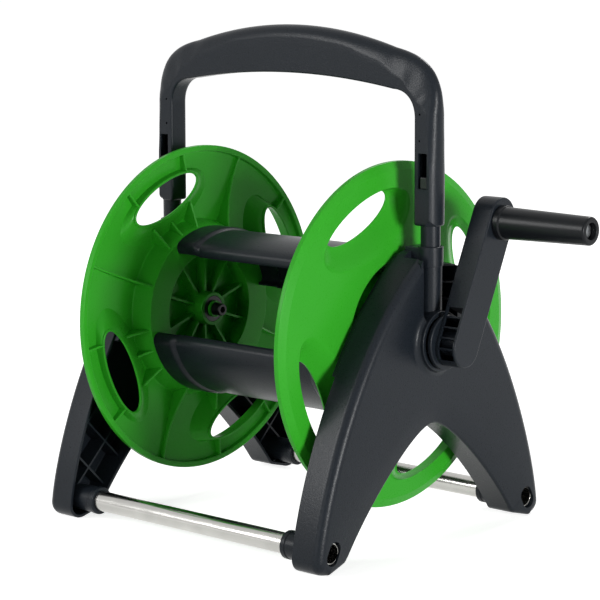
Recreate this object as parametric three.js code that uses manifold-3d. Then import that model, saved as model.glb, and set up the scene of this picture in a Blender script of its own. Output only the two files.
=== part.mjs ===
// Garden hose reel cart: a drum on two A-shaped side frames, with a crank and a tall carry handle.
// Millimetres. +X runs along the drum axle towards the crank, +Y is the rear, +Z is up, ground at Z = 0.

import * as THREE from 'three';
import { mergeVertices } from 'three/addons/utils/BufferGeometryUtils.js';
import Module from 'manifold-3d';

const wasm = await Module();
wasm.setup();

// ---- driving sizes ----

const groundClearance = 30; // under the drum
const runGap = 0.3; // clearance between pieces that touch or turn in each other
const farAway = 1000; // reach of a cutting block
const overlap = 1; // how far a cut or a joined piece runs past a face

// drum
const drumRadius = 165;
const drumInnerWidth = 250; // between the inner edges of the two rims
const rimDepth = 8;
const rimWidth = 6;
const rimSoft = 1.4;
const webWall = 2.6;
const webDish = 6; // the web stands this much further out at the hub than at the rim
const hubRingRadius = 84;
const hubRingFlare = 6;
const hubTroughRadius = 75; // the open trough behind the hub ring ends here
const hubFaceInset = 10; // from the rim's inner edge to the flat face where the staves sit
const hubCavityRadius = 57.5;
const bossRadius = 17;
const bossInset = 15;
const discRibWall = 2;
const cavityRibCount = 10;

// hand holes in the drum discs
const handHoleCount = 4;
const handHoleAngle = 23.9; // degrees, of the first one, from +Y towards +Z
const handHoleInset = 39.2; // from the drum's edge to the holes' centres
const handHoleHalfLength = 45.9;
const handHoleHalfWidth = 15.7;
const scoopHalfLength = 66;
const scoopHalfWidth = 27.5;
const collarRise = 2; // collar edge, inside the rim's inner edge
const collarDepth = 2;
const fanRibAngle = 15;
const tabRibLength = 9;
const ribRise = 3; // free edge of the fan ribs, outside the hub face
const longRibSag = 13; // its free edge dips this far outside the hub face between hub and rim

// barrel staves
const barrelRadius = 82;
const staveWall = 3;
const bandHeight = 1.5;
const bandLength = 24;
const bandSlope = 8;
const staveEdgeDepth = 10; // the stave's long edges are turned in this far
const staveArc = 114;
const staveStart = 12; // degrees, from +Y towards +Z

// side frames
const frameGap = 14; // from the drum's rim to the frame
const frameDepth = 33;
const frameWall = 3;
const lipDepth = 6;
const lipInset = 2.2;
const lipFoot = 25; // the lip ends this far below the axle
const footOverhang = 1; // the feet reach this far beyond the drum
const footCorner = 13;
const footWidth = 42;
const kneeInset = 4; // the outline's curve is steered by a knee and a shoulder
const kneeDrop = 140;
const shoulderInset = 51;
const shoulderRise = 13;
const crownHalfWidth = 12;
const crownRise = 83.5; // above the axle
const archDrop = 79; // top of the arch, below the axle
const archKneeInset = 66;
const archKneeDrop = 150;
const archCrownReach = 28;
const edgeRound = 3.5;
const braceWall = 2;
const braceStep = 46;
const braceDepth = 24;
const braceReach = 60;

// cross bars
const barRadius = 10;
const barWall = 1.2;
const barInset = 21; // from the feet's ends
const barHeight = 19;
const ferruleRadius = 13.5;
const ferruleLength = 22;
const footSlotLength = 24;
const footSlotWidth = 8;
const footSlotTilt = 28;

// crank recess in the right frame
const recessFloor = 24; // depth below the outer face
const recessFront = 19.4;
const recessRear = 31;
const recessTop = 104; // open through the crown
const recessRibWall = 1.8;
const recessRibCurve = 25; // radius of the ribs' hollow outer edge
const hubCollarRadius = 24.5; // inside the collar round the crank's hub
const hubCollarWall = 4;
const hubCollarRise = 7; // beyond the frame's face
const hubCollarFlare = 6; // where it meets the face

// handle posts and their sockets
const postInset = 10; // from the frame's outer face to the post's axis
const postSetback = 2.5; // the handle stands this far behind the axle
const postRadius = 9.3;
const postWall = 2.3;
const postLength = 156;
const socketWall = 2.5;
const socketFoot = 30; // above the axle
const socketRise = 88;
const throatDrop = 1; // the throat ends this far below the socket's top
const socketRibRise = [36, 52, 68];

// carry handle
const handleTravel = 18.5;
const legSide = 23.2;
const legRound = 6.6;
const legGap = 19; // between the leg's foot and the socket's top
const gripTop = 289; // above the axle
const gripHeight = 46;
const gripCrownRadius = 446;
const gripUnderRadius = 833;
const shoulderOuter = 54;
const shoulderInner = 26;
const legBoreTop = 216;

// latch buttons
const latchRise = 142; // button's foot above the axle
const latchHeight = 10.5;
const latchWidth = 7.6;
const latchWindowWidth = 10.5;
const latchWindowShift = 1; // towards the middle of the cart
const latchWindowSpare = 3.7; // above the button, past the handle's travel
const latchLeafWall = 1.5;
const latchLeafInset = 0.6; // the leaf is this much narrower than the button on each side
const latchLeafLength = 14; // below the button
const latchSink = 2.2; // the button's back, from the post's inner wall

// crank
const crankTilt = 24.5; // degrees from upright, towards the rear
const crankThrow = 120;
const crankArmWidth = 36.5;
const crankArmLead = 5.6; // the arm's upper end is centred this far beyond the grip's axis
const crankArmTail = 3.5; // and its lower end this far below the axle
const crankArmGap = 14.3; // from the frame's face to the arm
const crankArmDepth = 22.5;
const crankArmWall = 2.6;
const crankArmSoft = 1.5;
const crankHubRadius = 25.8;
const crankHubWall = 4.7;
const crankShaftRadius = 13;
const driveSquare = 18; // the shaft's end in the drum disc
const crankSquare = 15; // the hub's end in the arm
const crankSquareLength = 13;
const crankBossRadius = 13;
const gripBossRadius = 11;
const ladderTop = 30.6;
const ladderRungs = 5;
const ladderPitch = 10.2;
const ladderWall = 1.6;

// crank grip and its spindle
const gripLength = 101;
const gripBaseRadius = 15;
const gripEndRadius = 13.25;
const gripCollarRadius = 16.3;
const gripCollarLength = 6;
const gripMouthRadius = 7.8;
const gripMouthDepth = 9;
const gripEndSoft = 1.5;
const spindleRadius = 5;
const spindleHeadRadius = 7.2;
const spindleHeadLength = 3.5;
const spindleHeadSoft = 0.8;
const spindleTipInset = 1; // inside the arm's open back
const nutWidth = 13;
const nutHeight = 5;
const nutInset = 2;
const boltRadius = 3;
const boltHeadRadius = 6;
const boltHeadLength = 4;
const boltFlangeRadius = 15.5;
const boltFlangeWall = 1.6;

// bearings and water way
const bushWall = 2.4;
const bushFlangeWall = 1.6;
const bushFlangeRim = 3;
const hubTubeWall = 3;
const hubTubeOverlap = 4; // beyond the recess floor
const journalRadius = 13;
const elbowFlangeRadius = 21;
const elbowFlangeWall = 3;
const elbowBodyRadius = 13;
const elbowReach = 27; // from the left frame's face to the elbow's end
const elbowEndSoft = 2;
const branchInset = 1; // from the branch's axis to the middle of the elbow's rounded end
const elbowBranchRadius = 10;
const elbowBranchDrop = 24;
const waterBore = 3.2;
const spigotRadius = 6.2;
const spigotReach = 13; // beyond the boss
const spigotStem = 36;
const spigotTipGap = 4; // from the stem's end to the bore's end
const spigotTipSoft = 0.6;
const spigotFlangeWall = 3.2;
const lockRingWall = 2;
const lockRingLength = 3;
const oRingSection = 1.6;
const oRingSlack = 0.05; // between the ring and its groove's floor and walls
const oRingPlaces = [12, 24]; // from the spigot's flange
const nippleRadius = 8;
const nippleLength = 26;
const nippleCollarRadius = 12.5;
const nippleCollarLength = 5;
const nippleStemRadius = 6.5;
const nippleStemLength = 9;
const nippleGrooveRadius = 6;
const nippleEndSoft = 1.5;

// ---- places worked out from them ----

const axleHeight = drumRadius + groundClearance;
const footReach = drumRadius + footOverhang; // half the frame's depth at the ground
const kneeReach = footReach - kneeInset;
const shoulderReach = footReach - shoulderInset;
const archKneeReach = footReach - archKneeInset;
const barReach = footReach - barInset;
const handHolePitchRadius = drumRadius - handHoleInset;
const halfDrum = drumInnerWidth / 2;
const rimOuter = halfDrum + rimDepth;
const hubFace = halfDrum - hubFaceInset;
const bossFace = halfDrum - bossInset;
const webOuterAtHub = rimOuter + webDish;
const discPlate = webOuterAtHub - rimDepth / 2; // outer face of the disc's centre plate
const boreRadius = crankShaftRadius + runGap;
const frameInner = rimOuter + frameGap;
const frameFace = frameInner + frameDepth; // outer face, from the middle of the cart
const recessBack = frameFace - recessFloor;
const bushRadius = boreRadius + bushWall;
const bushSeat = discPlate + bushFlangeWall + 2 * runGap;
const socketRadius = postRadius + runGap + socketWall;
const socketTop = axleHeight + socketRise;
const legFoot = socketTop + legGap;
const postOffset = frameFace - postInset;
const postFoot = axleHeight + socketFoot;
const latchFoot = axleHeight + latchRise;
const latchTop = latchFoot + latchHeight;
const windowTop = latchTop + handleTravel + latchWindowSpare;
const crankArmInner = frameFace + crankArmGap;
const crankArmOuter = crankArmInner + crankArmDepth;
const nutSeat = crankArmInner + nutInset + nutHeight;
const crankHubOuter = crankArmInner - runGap;
const crankHubInner = crankHubOuter - crankHubWall;
const hubCollarFace = frameFace + hubCollarRise;
const hubCollarOuter = hubCollarRadius + hubCollarWall;
const gripStart = crankArmOuter + runGap;
const gripEnd = gripStart + gripLength;
const elbowEnd = frameFace + elbowReach;
const elbowAxis = elbowEnd - elbowBodyRadius + branchInset;
const centreShift = -(gripEnd - elbowEnd) / 2;

// ---- small helpers: three.js geometry in, three.js geometry out, manifold for cuts and joins ----

function signedVolume(points, index) {
  const a = new THREE.Vector3();
  const b = new THREE.Vector3();
  const c = new THREE.Vector3();
  let sum = 0;
  for (let i = 0; i < index.count; i += 3) {
    a.fromBufferAttribute(points, index.getX(i));
    b.fromBufferAttribute(points, index.getX(i + 1));
    c.fromBufferAttribute(points, index.getX(i + 2));
    sum += a.dot(b.cross(c));
  }
  return sum / 6;
}

function solid(geometry) {
  const bare = geometry.clone();
  bare.deleteAttribute('normal');
  bare.deleteAttribute('uv');
  const merged = mergeVertices(bare, 1e-4);
  const triVerts = new Uint32Array(merged.index.array);
  if (signedVolume(merged.attributes.position, merged.index) < 0) {
    triVerts.reverse();
  }
  const vertProperties = new Float32Array(merged.attributes.position.array);
  return new wasm.Manifold(new wasm.Mesh({ numProp: 3, vertProperties, triVerts }));
}

function geometryOf(body) {
  const mesh = body.getMesh();
  const geometry = new THREE.BufferGeometry();
  geometry.setAttribute('position', new THREE.BufferAttribute(new Float32Array(mesh.vertProperties), 3));
  geometry.setIndex(new THREE.BufferAttribute(new Uint32Array(mesh.triVerts), 1));
  geometry.computeVertexNormals();
  return geometry;
}

function union(...bodies) {
  return bodies.reduce((whole, body) => whole.add(body));
}

// a closed solid through rings of the same number of points
function loft(rings) {
  const count = rings[0].length;
  const points = rings.flat();
  const index = [];
  for (let ring = 0; ring + 1 < rings.length; ring += 1) {
    for (let i = 0; i < count; i += 1) {
      const a = ring * count + i;
      const b = ring * count + ((i + 1) % count);
      index.push(a, b, b + count, a, b + count, a + count);
    }
  }
  const last = (rings.length - 1) * count;
  for (let i = 1; i + 1 < count; i += 1) {
    index.push(0, i + 1, i, last, last + i, last + i + 1);
  }
  const geometry = new THREE.BufferGeometry();
  geometry.setAttribute('position', new THREE.Float32BufferAttribute(points.flatMap((p) => p.toArray()), 3));
  geometry.setIndex(index);
  return solid(geometry);
}

// profile of [radius, x] turned about the X axis; it starts and ends on the axis or closes on itself
function turnX(profile, segments = 40) {
  const points = profile.map(([radius, x]) => new THREE.Vector2(radius, x));
  return solid(new THREE.LatheGeometry(points, segments).rotateZ(-Math.PI / 2));
}

// the same about the Z axis, with [radius, z]
function turnZ(profile, segments = 32) {
  const points = profile.map(([radius, z]) => new THREE.Vector2(radius, z));
  return solid(new THREE.LatheGeometry(points, segments).rotateX(Math.PI / 2));
}

function ringX(inner, outer, from, to, segments = 40) {
  return turnX([[inner, from], [outer, from], [outer, to], [inner, to], [inner, from]], segments);
}

function rodX(radius, from, to, segments = 40) {
  return turnX([[0, from], [radius, from], [radius, to], [0, to]], segments);
}

function rodZ(radius, from, to, segments = 32) {
  return turnZ([[0, from], [radius, from], [radius, to], [0, to]], segments);
}

function box(from, to) {
  const size = to.map((value, axis) => value - from[axis]);
  const middle = to.map((value, axis) => (value + from[axis]) / 2);
  return solid(new THREE.BoxGeometry(...size).translate(...middle));
}

// a shape drawn in (y, z), extruded from one x to another
function extrudeX(shape, from, to, options = {}) {
  const settings = { depth: to - from, bevelEnabled: false, curveSegments: 20, ...options };
  const geometry = new THREE.ExtrudeGeometry(shape, settings);
  const turn = new THREE.Matrix4().set(0, 0, 1, from, 1, 0, 0, 0, 0, 1, 0, 0, 0, 0, 0, 1);
  return solid(geometry.applyMatrix4(turn));
}

// a shape drawn in (x, z), extruded from one y to another
function extrudeY(shape, from, to, options = {}) {
  const settings = { depth: to - from, bevelEnabled: false, curveSegments: 16, ...options };
  const geometry = new THREE.ExtrudeGeometry(shape, settings);
  const turn = new THREE.Matrix4().set(1, 0, 0, 0, 0, 0, -1, to, 0, 1, 0, 0, 0, 0, 0, 1);
  return solid(geometry.applyMatrix4(turn));
}

// a copy of a body, turned about the X axis and then moved
function placed(body, { turn = 0, x = 0, y = 0, z = 0 }) {
  const matrix = new THREE.Matrix4().makeRotationX(radians(turn)).setPosition(x, y, z);
  return solid(geometryOf(body).applyMatrix4(matrix));
}

function turned(body, turn) {
  return placed(body, { turn });
}

function radians(angle) {
  return THREE.MathUtils.degToRad(angle);
}

function mirroredX(geometry) {
  const copy = geometry.clone().scale(-1, 1, 1);
  const index = copy.index.array;
  for (let i = 0; i < index.length; i += 3) {
    [index[i], index[i + 1]] = [index[i + 1], index[i]];
  }
  copy.computeVertexNormals();
  return copy;
}

function polygon(points) {
  return new THREE.Shape(points.map(([a, b]) => new THREE.Vector2(a, b)));
}

function slotShape(halfLength, halfWidth) {
  const shape = new THREE.Shape();
  const straight = halfLength - halfWidth;
  shape.absarc(0, straight, halfWidth, 0, Math.PI, false);
  shape.absarc(0, -straight, halfWidth, Math.PI, 2 * Math.PI, false);
  shape.closePath();
  return shape;
}

// ---- materials ----

const green = new THREE.MeshStandardMaterial({ color: 0x3aa82f, roughness: 0.42, metalness: 0 });
const anthracite = new THREE.MeshStandardMaterial({ color: 0x2f3337, roughness: 0.55, metalness: 0 });
const black = new THREE.MeshStandardMaterial({ color: 0x17191b, roughness: 0.4, metalness: 0 });
const steel = new THREE.MeshStandardMaterial({ color: 0xc4c6c8, roughness: 0.22, metalness: 1 });
const rubber = new THREE.MeshStandardMaterial({ color: 0x101010, roughness: 0.8, metalness: 0 });

function piece(name, shape, material) {
  const geometry = shape.isBufferGeometry ? shape : geometryOf(shape);
  const mesh = new THREE.Mesh(geometry, material.clone());
  mesh.name = name;
  return mesh;
}

// ---- drum discs, built as the right-hand one ----

const handHoleTurn = 360 / handHoleCount;
const ringBaseRadius = hubRingRadius + hubRingFlare;
const rimInside = drumRadius - rimWidth;

// inner face of the dished web at a radius
function webInside(radius) {
  const share = (rimInside - radius) / (rimInside - ringBaseRadius);
  return rimOuter - webWall + webDish * share;
}

function discShell() {
  const cavityFloor = discPlate - webWall;
  return turnX([
    [0, bossFace],
    [bossRadius, bossFace],
    [bossRadius, cavityFloor],
    [hubCavityRadius, cavityFloor],
    [hubCavityRadius, hubFace],
    [hubRingRadius, hubFace],
    [ringBaseRadius, webInside(ringBaseRadius)],
    [rimInside, webInside(rimInside)],
    [rimInside + rimSoft, halfDrum],
    [drumRadius - rimSoft, halfDrum],
    [drumRadius, halfDrum + rimSoft],
    [drumRadius, rimOuter - 2 * rimSoft],
    [drumRadius - rimSoft, rimOuter],
    [hubTroughRadius, webOuterAtHub],
    [hubTroughRadius, hubFace + webWall],
    [hubCavityRadius + webWall, hubFace + webWall],
    [hubCavityRadius + webWall, discPlate],
    [0, discPlate],
  ], 30);
}

function ellipseRing(x, radius, halfLength, halfWidth) {
  const ring = [];
  const steps = 12;
  for (let i = 0; i < steps; i += 1) {
    const angle = (2 * Math.PI * i) / steps;
    ring.push(new THREE.Vector3(x, radius + halfWidth * Math.cos(angle), halfLength * Math.sin(angle)));
  }
  return ring;
}

const collarEdge = halfDrum - collarRise;
const scoopRadius = handHolePitchRadius + handHoleHalfWidth - scoopHalfWidth;

// the scoop round a hand hole narrows from the web to the collar's edge, its outer side level all the way
function scoop() {
  const reach = 2 * webWall;
  return loft([
    ellipseRing(collarEdge - reach, handHolePitchRadius, handHoleHalfLength, handHoleHalfWidth),
    ellipseRing(collarEdge + collarDepth, handHolePitchRadius, handHoleHalfLength, handHoleHalfWidth),
    ellipseRing(rimOuter + reach, scoopRadius, scoopHalfLength, scoopHalfWidth),
    ellipseRing(webOuterAtHub + reach, scoopRadius, scoopHalfLength, scoopHalfWidth),
  ]);
}

// its wall, before the scoop is cut out of it
function scoopWall() {
  const collarLength = handHoleHalfLength + webWall;
  const collarWidth = handHoleHalfWidth + webWall;
  return loft([
    ellipseRing(collarEdge, handHolePitchRadius, collarLength, collarWidth),
    ellipseRing(collarEdge + collarDepth, handHolePitchRadius, collarLength, collarWidth),
    ellipseRing(rimOuter, scoopRadius, scoopHalfLength + webWall, scoopHalfWidth + webWall),
  ]);
}

// a rib standing on the web, under a free edge of [radius, x] points
function discRib(edge) {
  const [from] = edge[0];
  const [to] = edge[edge.length - 1];
  const shape = polygon([
    ...edge,
    [to, webInside(to) + webWall / 2],
    [from, webInside(Math.max(from, ringBaseRadius)) + webWall / 2],
  ]);
  const geometry = new THREE.ExtrudeGeometry(shape, { depth: discRibWall, bevelEnabled: false });
  const turn = new THREE.Matrix4().set(0, 1, 0, 0, 1, 0, 0, 0, 0, 0, 1, -discRibWall / 2, 0, 0, 0, 1);
  return solid(geometry.applyMatrix4(turn));
}

function drumDisc(bore) {
  const root = 1; // how far a rib runs into the wall it stands on
  const holes = [...Array(handHoleCount).keys()].map((i) => handHoleAngle + i * handHoleTurn);
  const ribFoot = hubRingRadius - root;
  const ribReach = rimInside + root;
  const ribMiddle = (hubRingRadius + rimInside) / 2;
  const longRib = discRib([
    [ribFoot, hubFace + ribRise / 2],
    [ribMiddle, hubFace + longRibSag],
    [ribReach, halfDrum + ribRise / 2],
  ]);
  const fanReach = handHolePitchRadius - handHoleHalfWidth;
  const fanRib = discRib([[ribFoot, hubFace + ribRise], [fanReach, collarEdge + ribRise / 3]]);
  const tabReach = ringBaseRadius + tabRibLength;
  const tabRib = discRib([[ribFoot, hubFace + ribRise], [tabReach, halfDrum + ribRise]]);
  const shortFoot = handHolePitchRadius + handHoleHalfWidth - root;
  const shortRib = discRib([[shortFoot, collarEdge + ribRise / 2], [ribReach, halfDrum + ribRise / 3]]);
  let disc = discShell();
  for (const angle of holes) {
    disc = union(disc, turned(scoopWall(), angle));
  }
  for (const angle of holes) {
    disc = union(
      disc,
      turned(longRib, angle + handHoleTurn / 2),
      turned(fanRib, angle - fanRibAngle),
      turned(fanRib, angle + fanRibAngle),
      turned(tabRib, angle),
      turned(shortRib, angle - fanRibAngle),
      turned(shortRib, angle + fanRibAngle),
    );
  }
  const cavityRib = box(
    [hubFace + 2 * ribRise, bossRadius - root, -discRibWall / 2],
    [discPlate - root, hubCavityRadius + root, discRibWall / 2],
  );
  for (let i = 0; i < cavityRibCount; i += 1) {
    disc = union(disc, turned(cavityRib, (360 / cavityRibCount) * (i + 0.5)));
  }
  for (const angle of holes) {
    disc = disc.subtract(turned(scoop(), angle));
  }
  return geometryOf(disc.subtract(bore));
}

// ---- barrel staves ----

// the barrel's outside moved inwards by an inset, as a solid round the axle
function barrelBody(inset, end) {
  const flat = hubFace - runGap - bandLength;
  const waist = flat - bandSlope;
  const band = barrelRadius + bandHeight - inset;
  return turnX([
    [0, -end],
    [band, -end],
    [band, -flat],
    [barrelRadius - inset, -waist],
    [barrelRadius - inset, waist],
    [band, flat],
    [band, end],
    [0, end],
  ], 36);
}

// a wedge about the axle, for cutting out an arc
function wedge(startAngle, arc) {
  const far = 2 * barrelRadius;
  const from = radians(startAngle);
  const shape = new THREE.Shape();
  shape.moveTo(0, 0);
  shape.lineTo(far * Math.cos(from), far * Math.sin(from));
  shape.absarc(0, 0, far, from, radians(startAngle + arc), false);
  shape.closePath();
  return extrudeX(shape, -halfDrum, halfDrum, { curveSegments: 6 });
}

// a shell with its two long edges turned in
function barrelStave(startAngle) {
  const end = hubFace - runGap;
  const outside = barrelBody(0, end);
  const inside = barrelBody(staveWall, halfDrum);
  const shell = outside.subtract(inside).intersect(wedge(startAngle, staveArc));
  const edgeArc = staveWall / radians(barrelRadius);
  const edges = union(wedge(startAngle, edgeArc), wedge(startAngle + staveArc - edgeArc, edgeArc));
  const turnedIn = outside.subtract(rodX(barrelRadius - staveEdgeDepth, -halfDrum, halfDrum)).intersect(edges);
  return union(shell, turnedIn);
}

// ---- side frames, built as the right-hand one ----

// points [y, z] along a curve, moved inwards by an inset; side is 1 where the inside is on the left
function insetPoints(corners, steps, inset, side) {
  const curve = new THREE.CubicBezierCurve(...corners.map(([y, z]) => new THREE.Vector2(y, z)));
  const points = [];
  for (let i = 0; i <= steps; i += 1) {
    const at = curve.getPoint(i / steps);
    const along = curve.getTangent(i / steps);
    points.push([at.x - side * along.y * inset, at.y + side * along.x * inset]);
  }
  return points;
}

// right half of the outline, from the foot to the crown
function outlineHalf(inset) {
  const top = axleHeight + crownRise;
  const leg = insetPoints([
    [footReach, footCorner],
    [kneeReach, axleHeight - kneeDrop],
    [shoulderReach, axleHeight + shoulderRise],
    [crownHalfWidth, top],
  ], 8, inset, 1);
  const flat = crownHalfWidth - inset / 2;
  return leg.filter(([y, z]) => y > flat && z < top - inset).concat([[flat, top - inset]]);
}

// right half of the arch, from the foot to its top
function archHalf(inset) {
  const top = axleHeight - archDrop;
  const arch = insetPoints([
    [footReach - footWidth, footCorner / 2],
    [archKneeReach, axleHeight - archKneeDrop],
    [archCrownReach, top],
    [0, top],
  ], 6, inset, -1);
  return arch.slice(0, -1).concat([[0, top + inset]]);
}

function mirrorHalf(points) {
  return points.map(([y, z]) => [-y, z]).reverse();
}

// A-shaped outline with rounded feet, all moved inwards by the inset
function frameShape(inset) {
  const inside = footReach - footWidth;
  const corner = footCorner * 0.3; // a quarter circle's middle stands this far in from its corner
  const foot = [
    [inside + footCorner / 3 + inset / 2, inset],
    [footReach - footCorner, inset],
    [footReach - corner - inset * 0.7, corner + inset * 0.7],
  ];
  const half = [...archHalf(inset).reverse(), ...foot, ...outlineHalf(inset)];
  return polygon([...half, ...mirrorHalf(half).slice(0, -1)]);
}

function frameShell() {
  const outer = extrudeX(frameShape(edgeRound), frameInner - edgeRound, frameFace - edgeRound, {
    bevelEnabled: true,
    bevelThickness: edgeRound,
    bevelSize: edgeRound,
    bevelSegments: 1,
  }).subtract(box([-farAway, -farAway, -farAway], [frameInner, farAway, farAway]));
  const hollow = extrudeX(frameShape(frameWall), frameInner - overlap, frameFace - frameWall);
  const upper = box(
    [frameInner - 2 * lipDepth, -footReach, axleHeight - lipFoot],
    [frameFace, footReach, axleHeight + crownRise + overlap],
  );
  const lipShape = frameShape(lipInset);
  const lipHole = extrudeX(frameShape(lipInset + frameWall), -farAway, farAway);
  const lip = extrudeX(lipShape, frameInner - lipDepth, frameInner + frameWall);
  const bridge = extrudeX(frameShape(frameWall / 2), frameInner, frameInner + frameWall);
  return union(outer.subtract(hollow), union(lip, bridge).subtract(lipHole).intersect(upper));
}

// crossed stiffening ribs inside both legs
function legBraces() {
  let braces = null;
  const from = frameFace - braceDepth;
  const rib = box([from, -braceReach, -braceWall / 2], [frameFace - overlap, braceReach, braceWall / 2]);
  for (const side of [-1, 1]) {
    for (let z = -braceStep; z < axleHeight - archDrop; z += braceStep) {
      for (const lean of [-1, 1]) {
        const brace = placed(rib, { turn: lean * 45, y: side * 0.8 * footReach, z: z + braceStep });
        braces = braces ? union(braces, brace) : brace;
      }
    }
  }
  const zone = extrudeX(frameShape(frameWall - overlap), from, frameFace - frameWall + overlap);
  const below = box([from - overlap, -footReach, 0], [frameFace, footReach, axleHeight - archDrop]);
  return braces.intersect(zone).intersect(below);
}

function barSockets() {
  const socket = rodX(ferruleRadius, frameInner - ferruleLength, frameFace - overlap, 20);
  return union(...[-1, 1].map((side) => placed(socket, { y: side * barReach, z: barHeight })));
}

function barBores() {
  const bore = rodX(barRadius + runGap, frameInner - ferruleLength - overlap, frameFace - frameWall, 20);
  return union(...[-1, 1].map((side) => placed(bore, { y: side * barReach, z: barHeight })));
}

function footSlots() {
  const shape = slotShape(footSlotLength / 2, footSlotWidth / 2);
  const slot = extrudeX(shape, frameFace - frameWall - overlap, frameFace + overlap, { curveSegments: 4 });
  return union(...[-1, 1].map((side) => placed(slot, {
    turn: side * footSlotTilt,
    y: side * barReach,
    z: barHeight,
  })));
}

function recessShape(grow) {
  return polygon([
    [-recessFront - grow, axleHeight],
    [recessRear + grow, axleHeight],
    [recessRear + grow, axleHeight + recessTop],
    [-recessFront - grow, axleHeight + recessTop],
  ]);
}

function recess(grow, from, to) {
  return union(
    extrudeX(recessShape(grow), from, to),
    placed(rodX(hubCollarRadius + grow, from, to, 28), { z: axleHeight }),
  );
}

// the handle socket, a round tube in the crown of each frame
function postSocket() {
  const foot = postFoot - frameWall;
  const collar = placed(rodZ(socketRadius, foot, socketTop, 20), { x: postOffset, y: postSetback });
  const throat = box(
    [frameInner + overlap, postSetback - socketRadius + overlap, foot],
    [postOffset, postSetback + socketRadius - overlap, socketTop - throatDrop],
  );
  return union(collar, throat);
}

function postBore() {
  const bore = rodZ(postRadius + runGap, postFoot, socketTop + overlap, 20);
  return placed(bore, { x: postOffset, y: postSetback });
}

// level ribs between the recess's walls and the socket, their outer edge hollowed
function recessRibs() {
  const half = recessRibWall / 2;
  const middle = (recessRear - recessFront) / 2;
  const hollow = placed(rodZ(recessRibCurve, 0, farAway, 28), {
    x: frameFace + socketWall + recessRibCurve / 4,
    y: middle,
  });
  const plates = socketRibRise.map((rise) => box(
    [frameInner + 2 * frameWall, -recessFront - overlap, axleHeight + rise - half],
    [frameFace - socketWall, recessRear + overlap, axleHeight + rise + half],
  ));
  return union(...plates).subtract(hollow);
}

// the collar that stands out round the crank's hub, and its flared foot on the frame's face
function hubCollar() {
  const ring = ringX(hubCollarRadius, hubCollarOuter, recessBack - overlap, hubCollarFace, 28);
  return placed(ring, { z: axleHeight });
}

function hubCollarFoot() {
  const foot = turnX([
    [0, frameFace - frameWall],
    [hubCollarOuter + hubCollarFlare, frameFace - frameWall],
    [hubCollarOuter + hubCollarFlare, frameFace],
    [hubCollarOuter, hubCollarFace],
    [0, hubCollarFace],
  ], 28);
  return placed(foot, { z: axleHeight });
}

function sideFrame(withCrankRecess) {
  const hubRadius = bushRadius + runGap + hubTubeWall;
  const tubeEnd = withCrankRecess ? bushSeat : discPlate + runGap;
  const hubTube = placed(rodX(hubRadius, tubeEnd, frameFace - overlap, 28), { z: axleHeight });
  let frame = union(frameShell(), legBraces(), hubTube);
  if (withCrankRecess) {
    const inside = extrudeX(frameShape(frameWall / 4), frameInner, frameFace - frameWall / 4);
    const pan = recess(frameWall, recessBack - frameWall, frameFace).intersect(inside);
    const tubeInRecess = hubTube.intersect(recess(0, 0, recessBack + hubTubeOverlap));
    const ribs = recessRibs().intersect(extrudeX(frameShape(1), frameInner, frameFace));
    frame = union(frame, pan, hubCollarFoot()).subtract(recess(0, recessBack, hubCollarFace + overlap));
    frame = union(frame, ribs, tubeInRecess, hubCollar());
  }
  frame = union(frame, postSocket(), barSockets());
  const hubBore = withCrankRecess ? bushRadius + runGap : journalRadius + runGap;
  return frame
    .subtract(placed(rodX(hubBore, 0, frameFace + overlap, 28), { z: axleHeight }))
    .subtract(postBore())
    .subtract(barBores())
    .subtract(footSlots());
}

// ---- cross bars ----

function crossBar() {
  const end = frameFace - frameWall - runGap;
  return ringX(barRadius - barWall, barRadius, -end, end, 20);
}

// ---- handle posts, carry handle and latch buttons ----

function handlePost(side) {
  const top = postFoot + runGap + postLength;
  const tube = turnZ([
    [postRadius - postWall, postFoot + runGap],
    [postRadius, postFoot + runGap],
    [postRadius, top],
    [postRadius - postWall, top],
    [postRadius - postWall, postFoot + runGap],
  ], 20);
  const half = latchWidth / 2 + runGap;
  const face = -postRadius - overlap;
  const buttonHole = box([-half, face, latchFoot - runGap], [half, 0, latchTop + 2 * runGap]);
  return tube.subtract(buttonHole).subtract(latchWindow(side, latchTop + runGap, face));
}

// the opening behind which the button stands, seen through post and handle, about the post's axis
function latchWindow(side, foot, face) {
  const middle = -side * latchWindowShift;
  const half = latchWindowWidth / 2;
  return box([middle - half, face, foot], [middle + half, 0, windowTop]);
}

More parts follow.
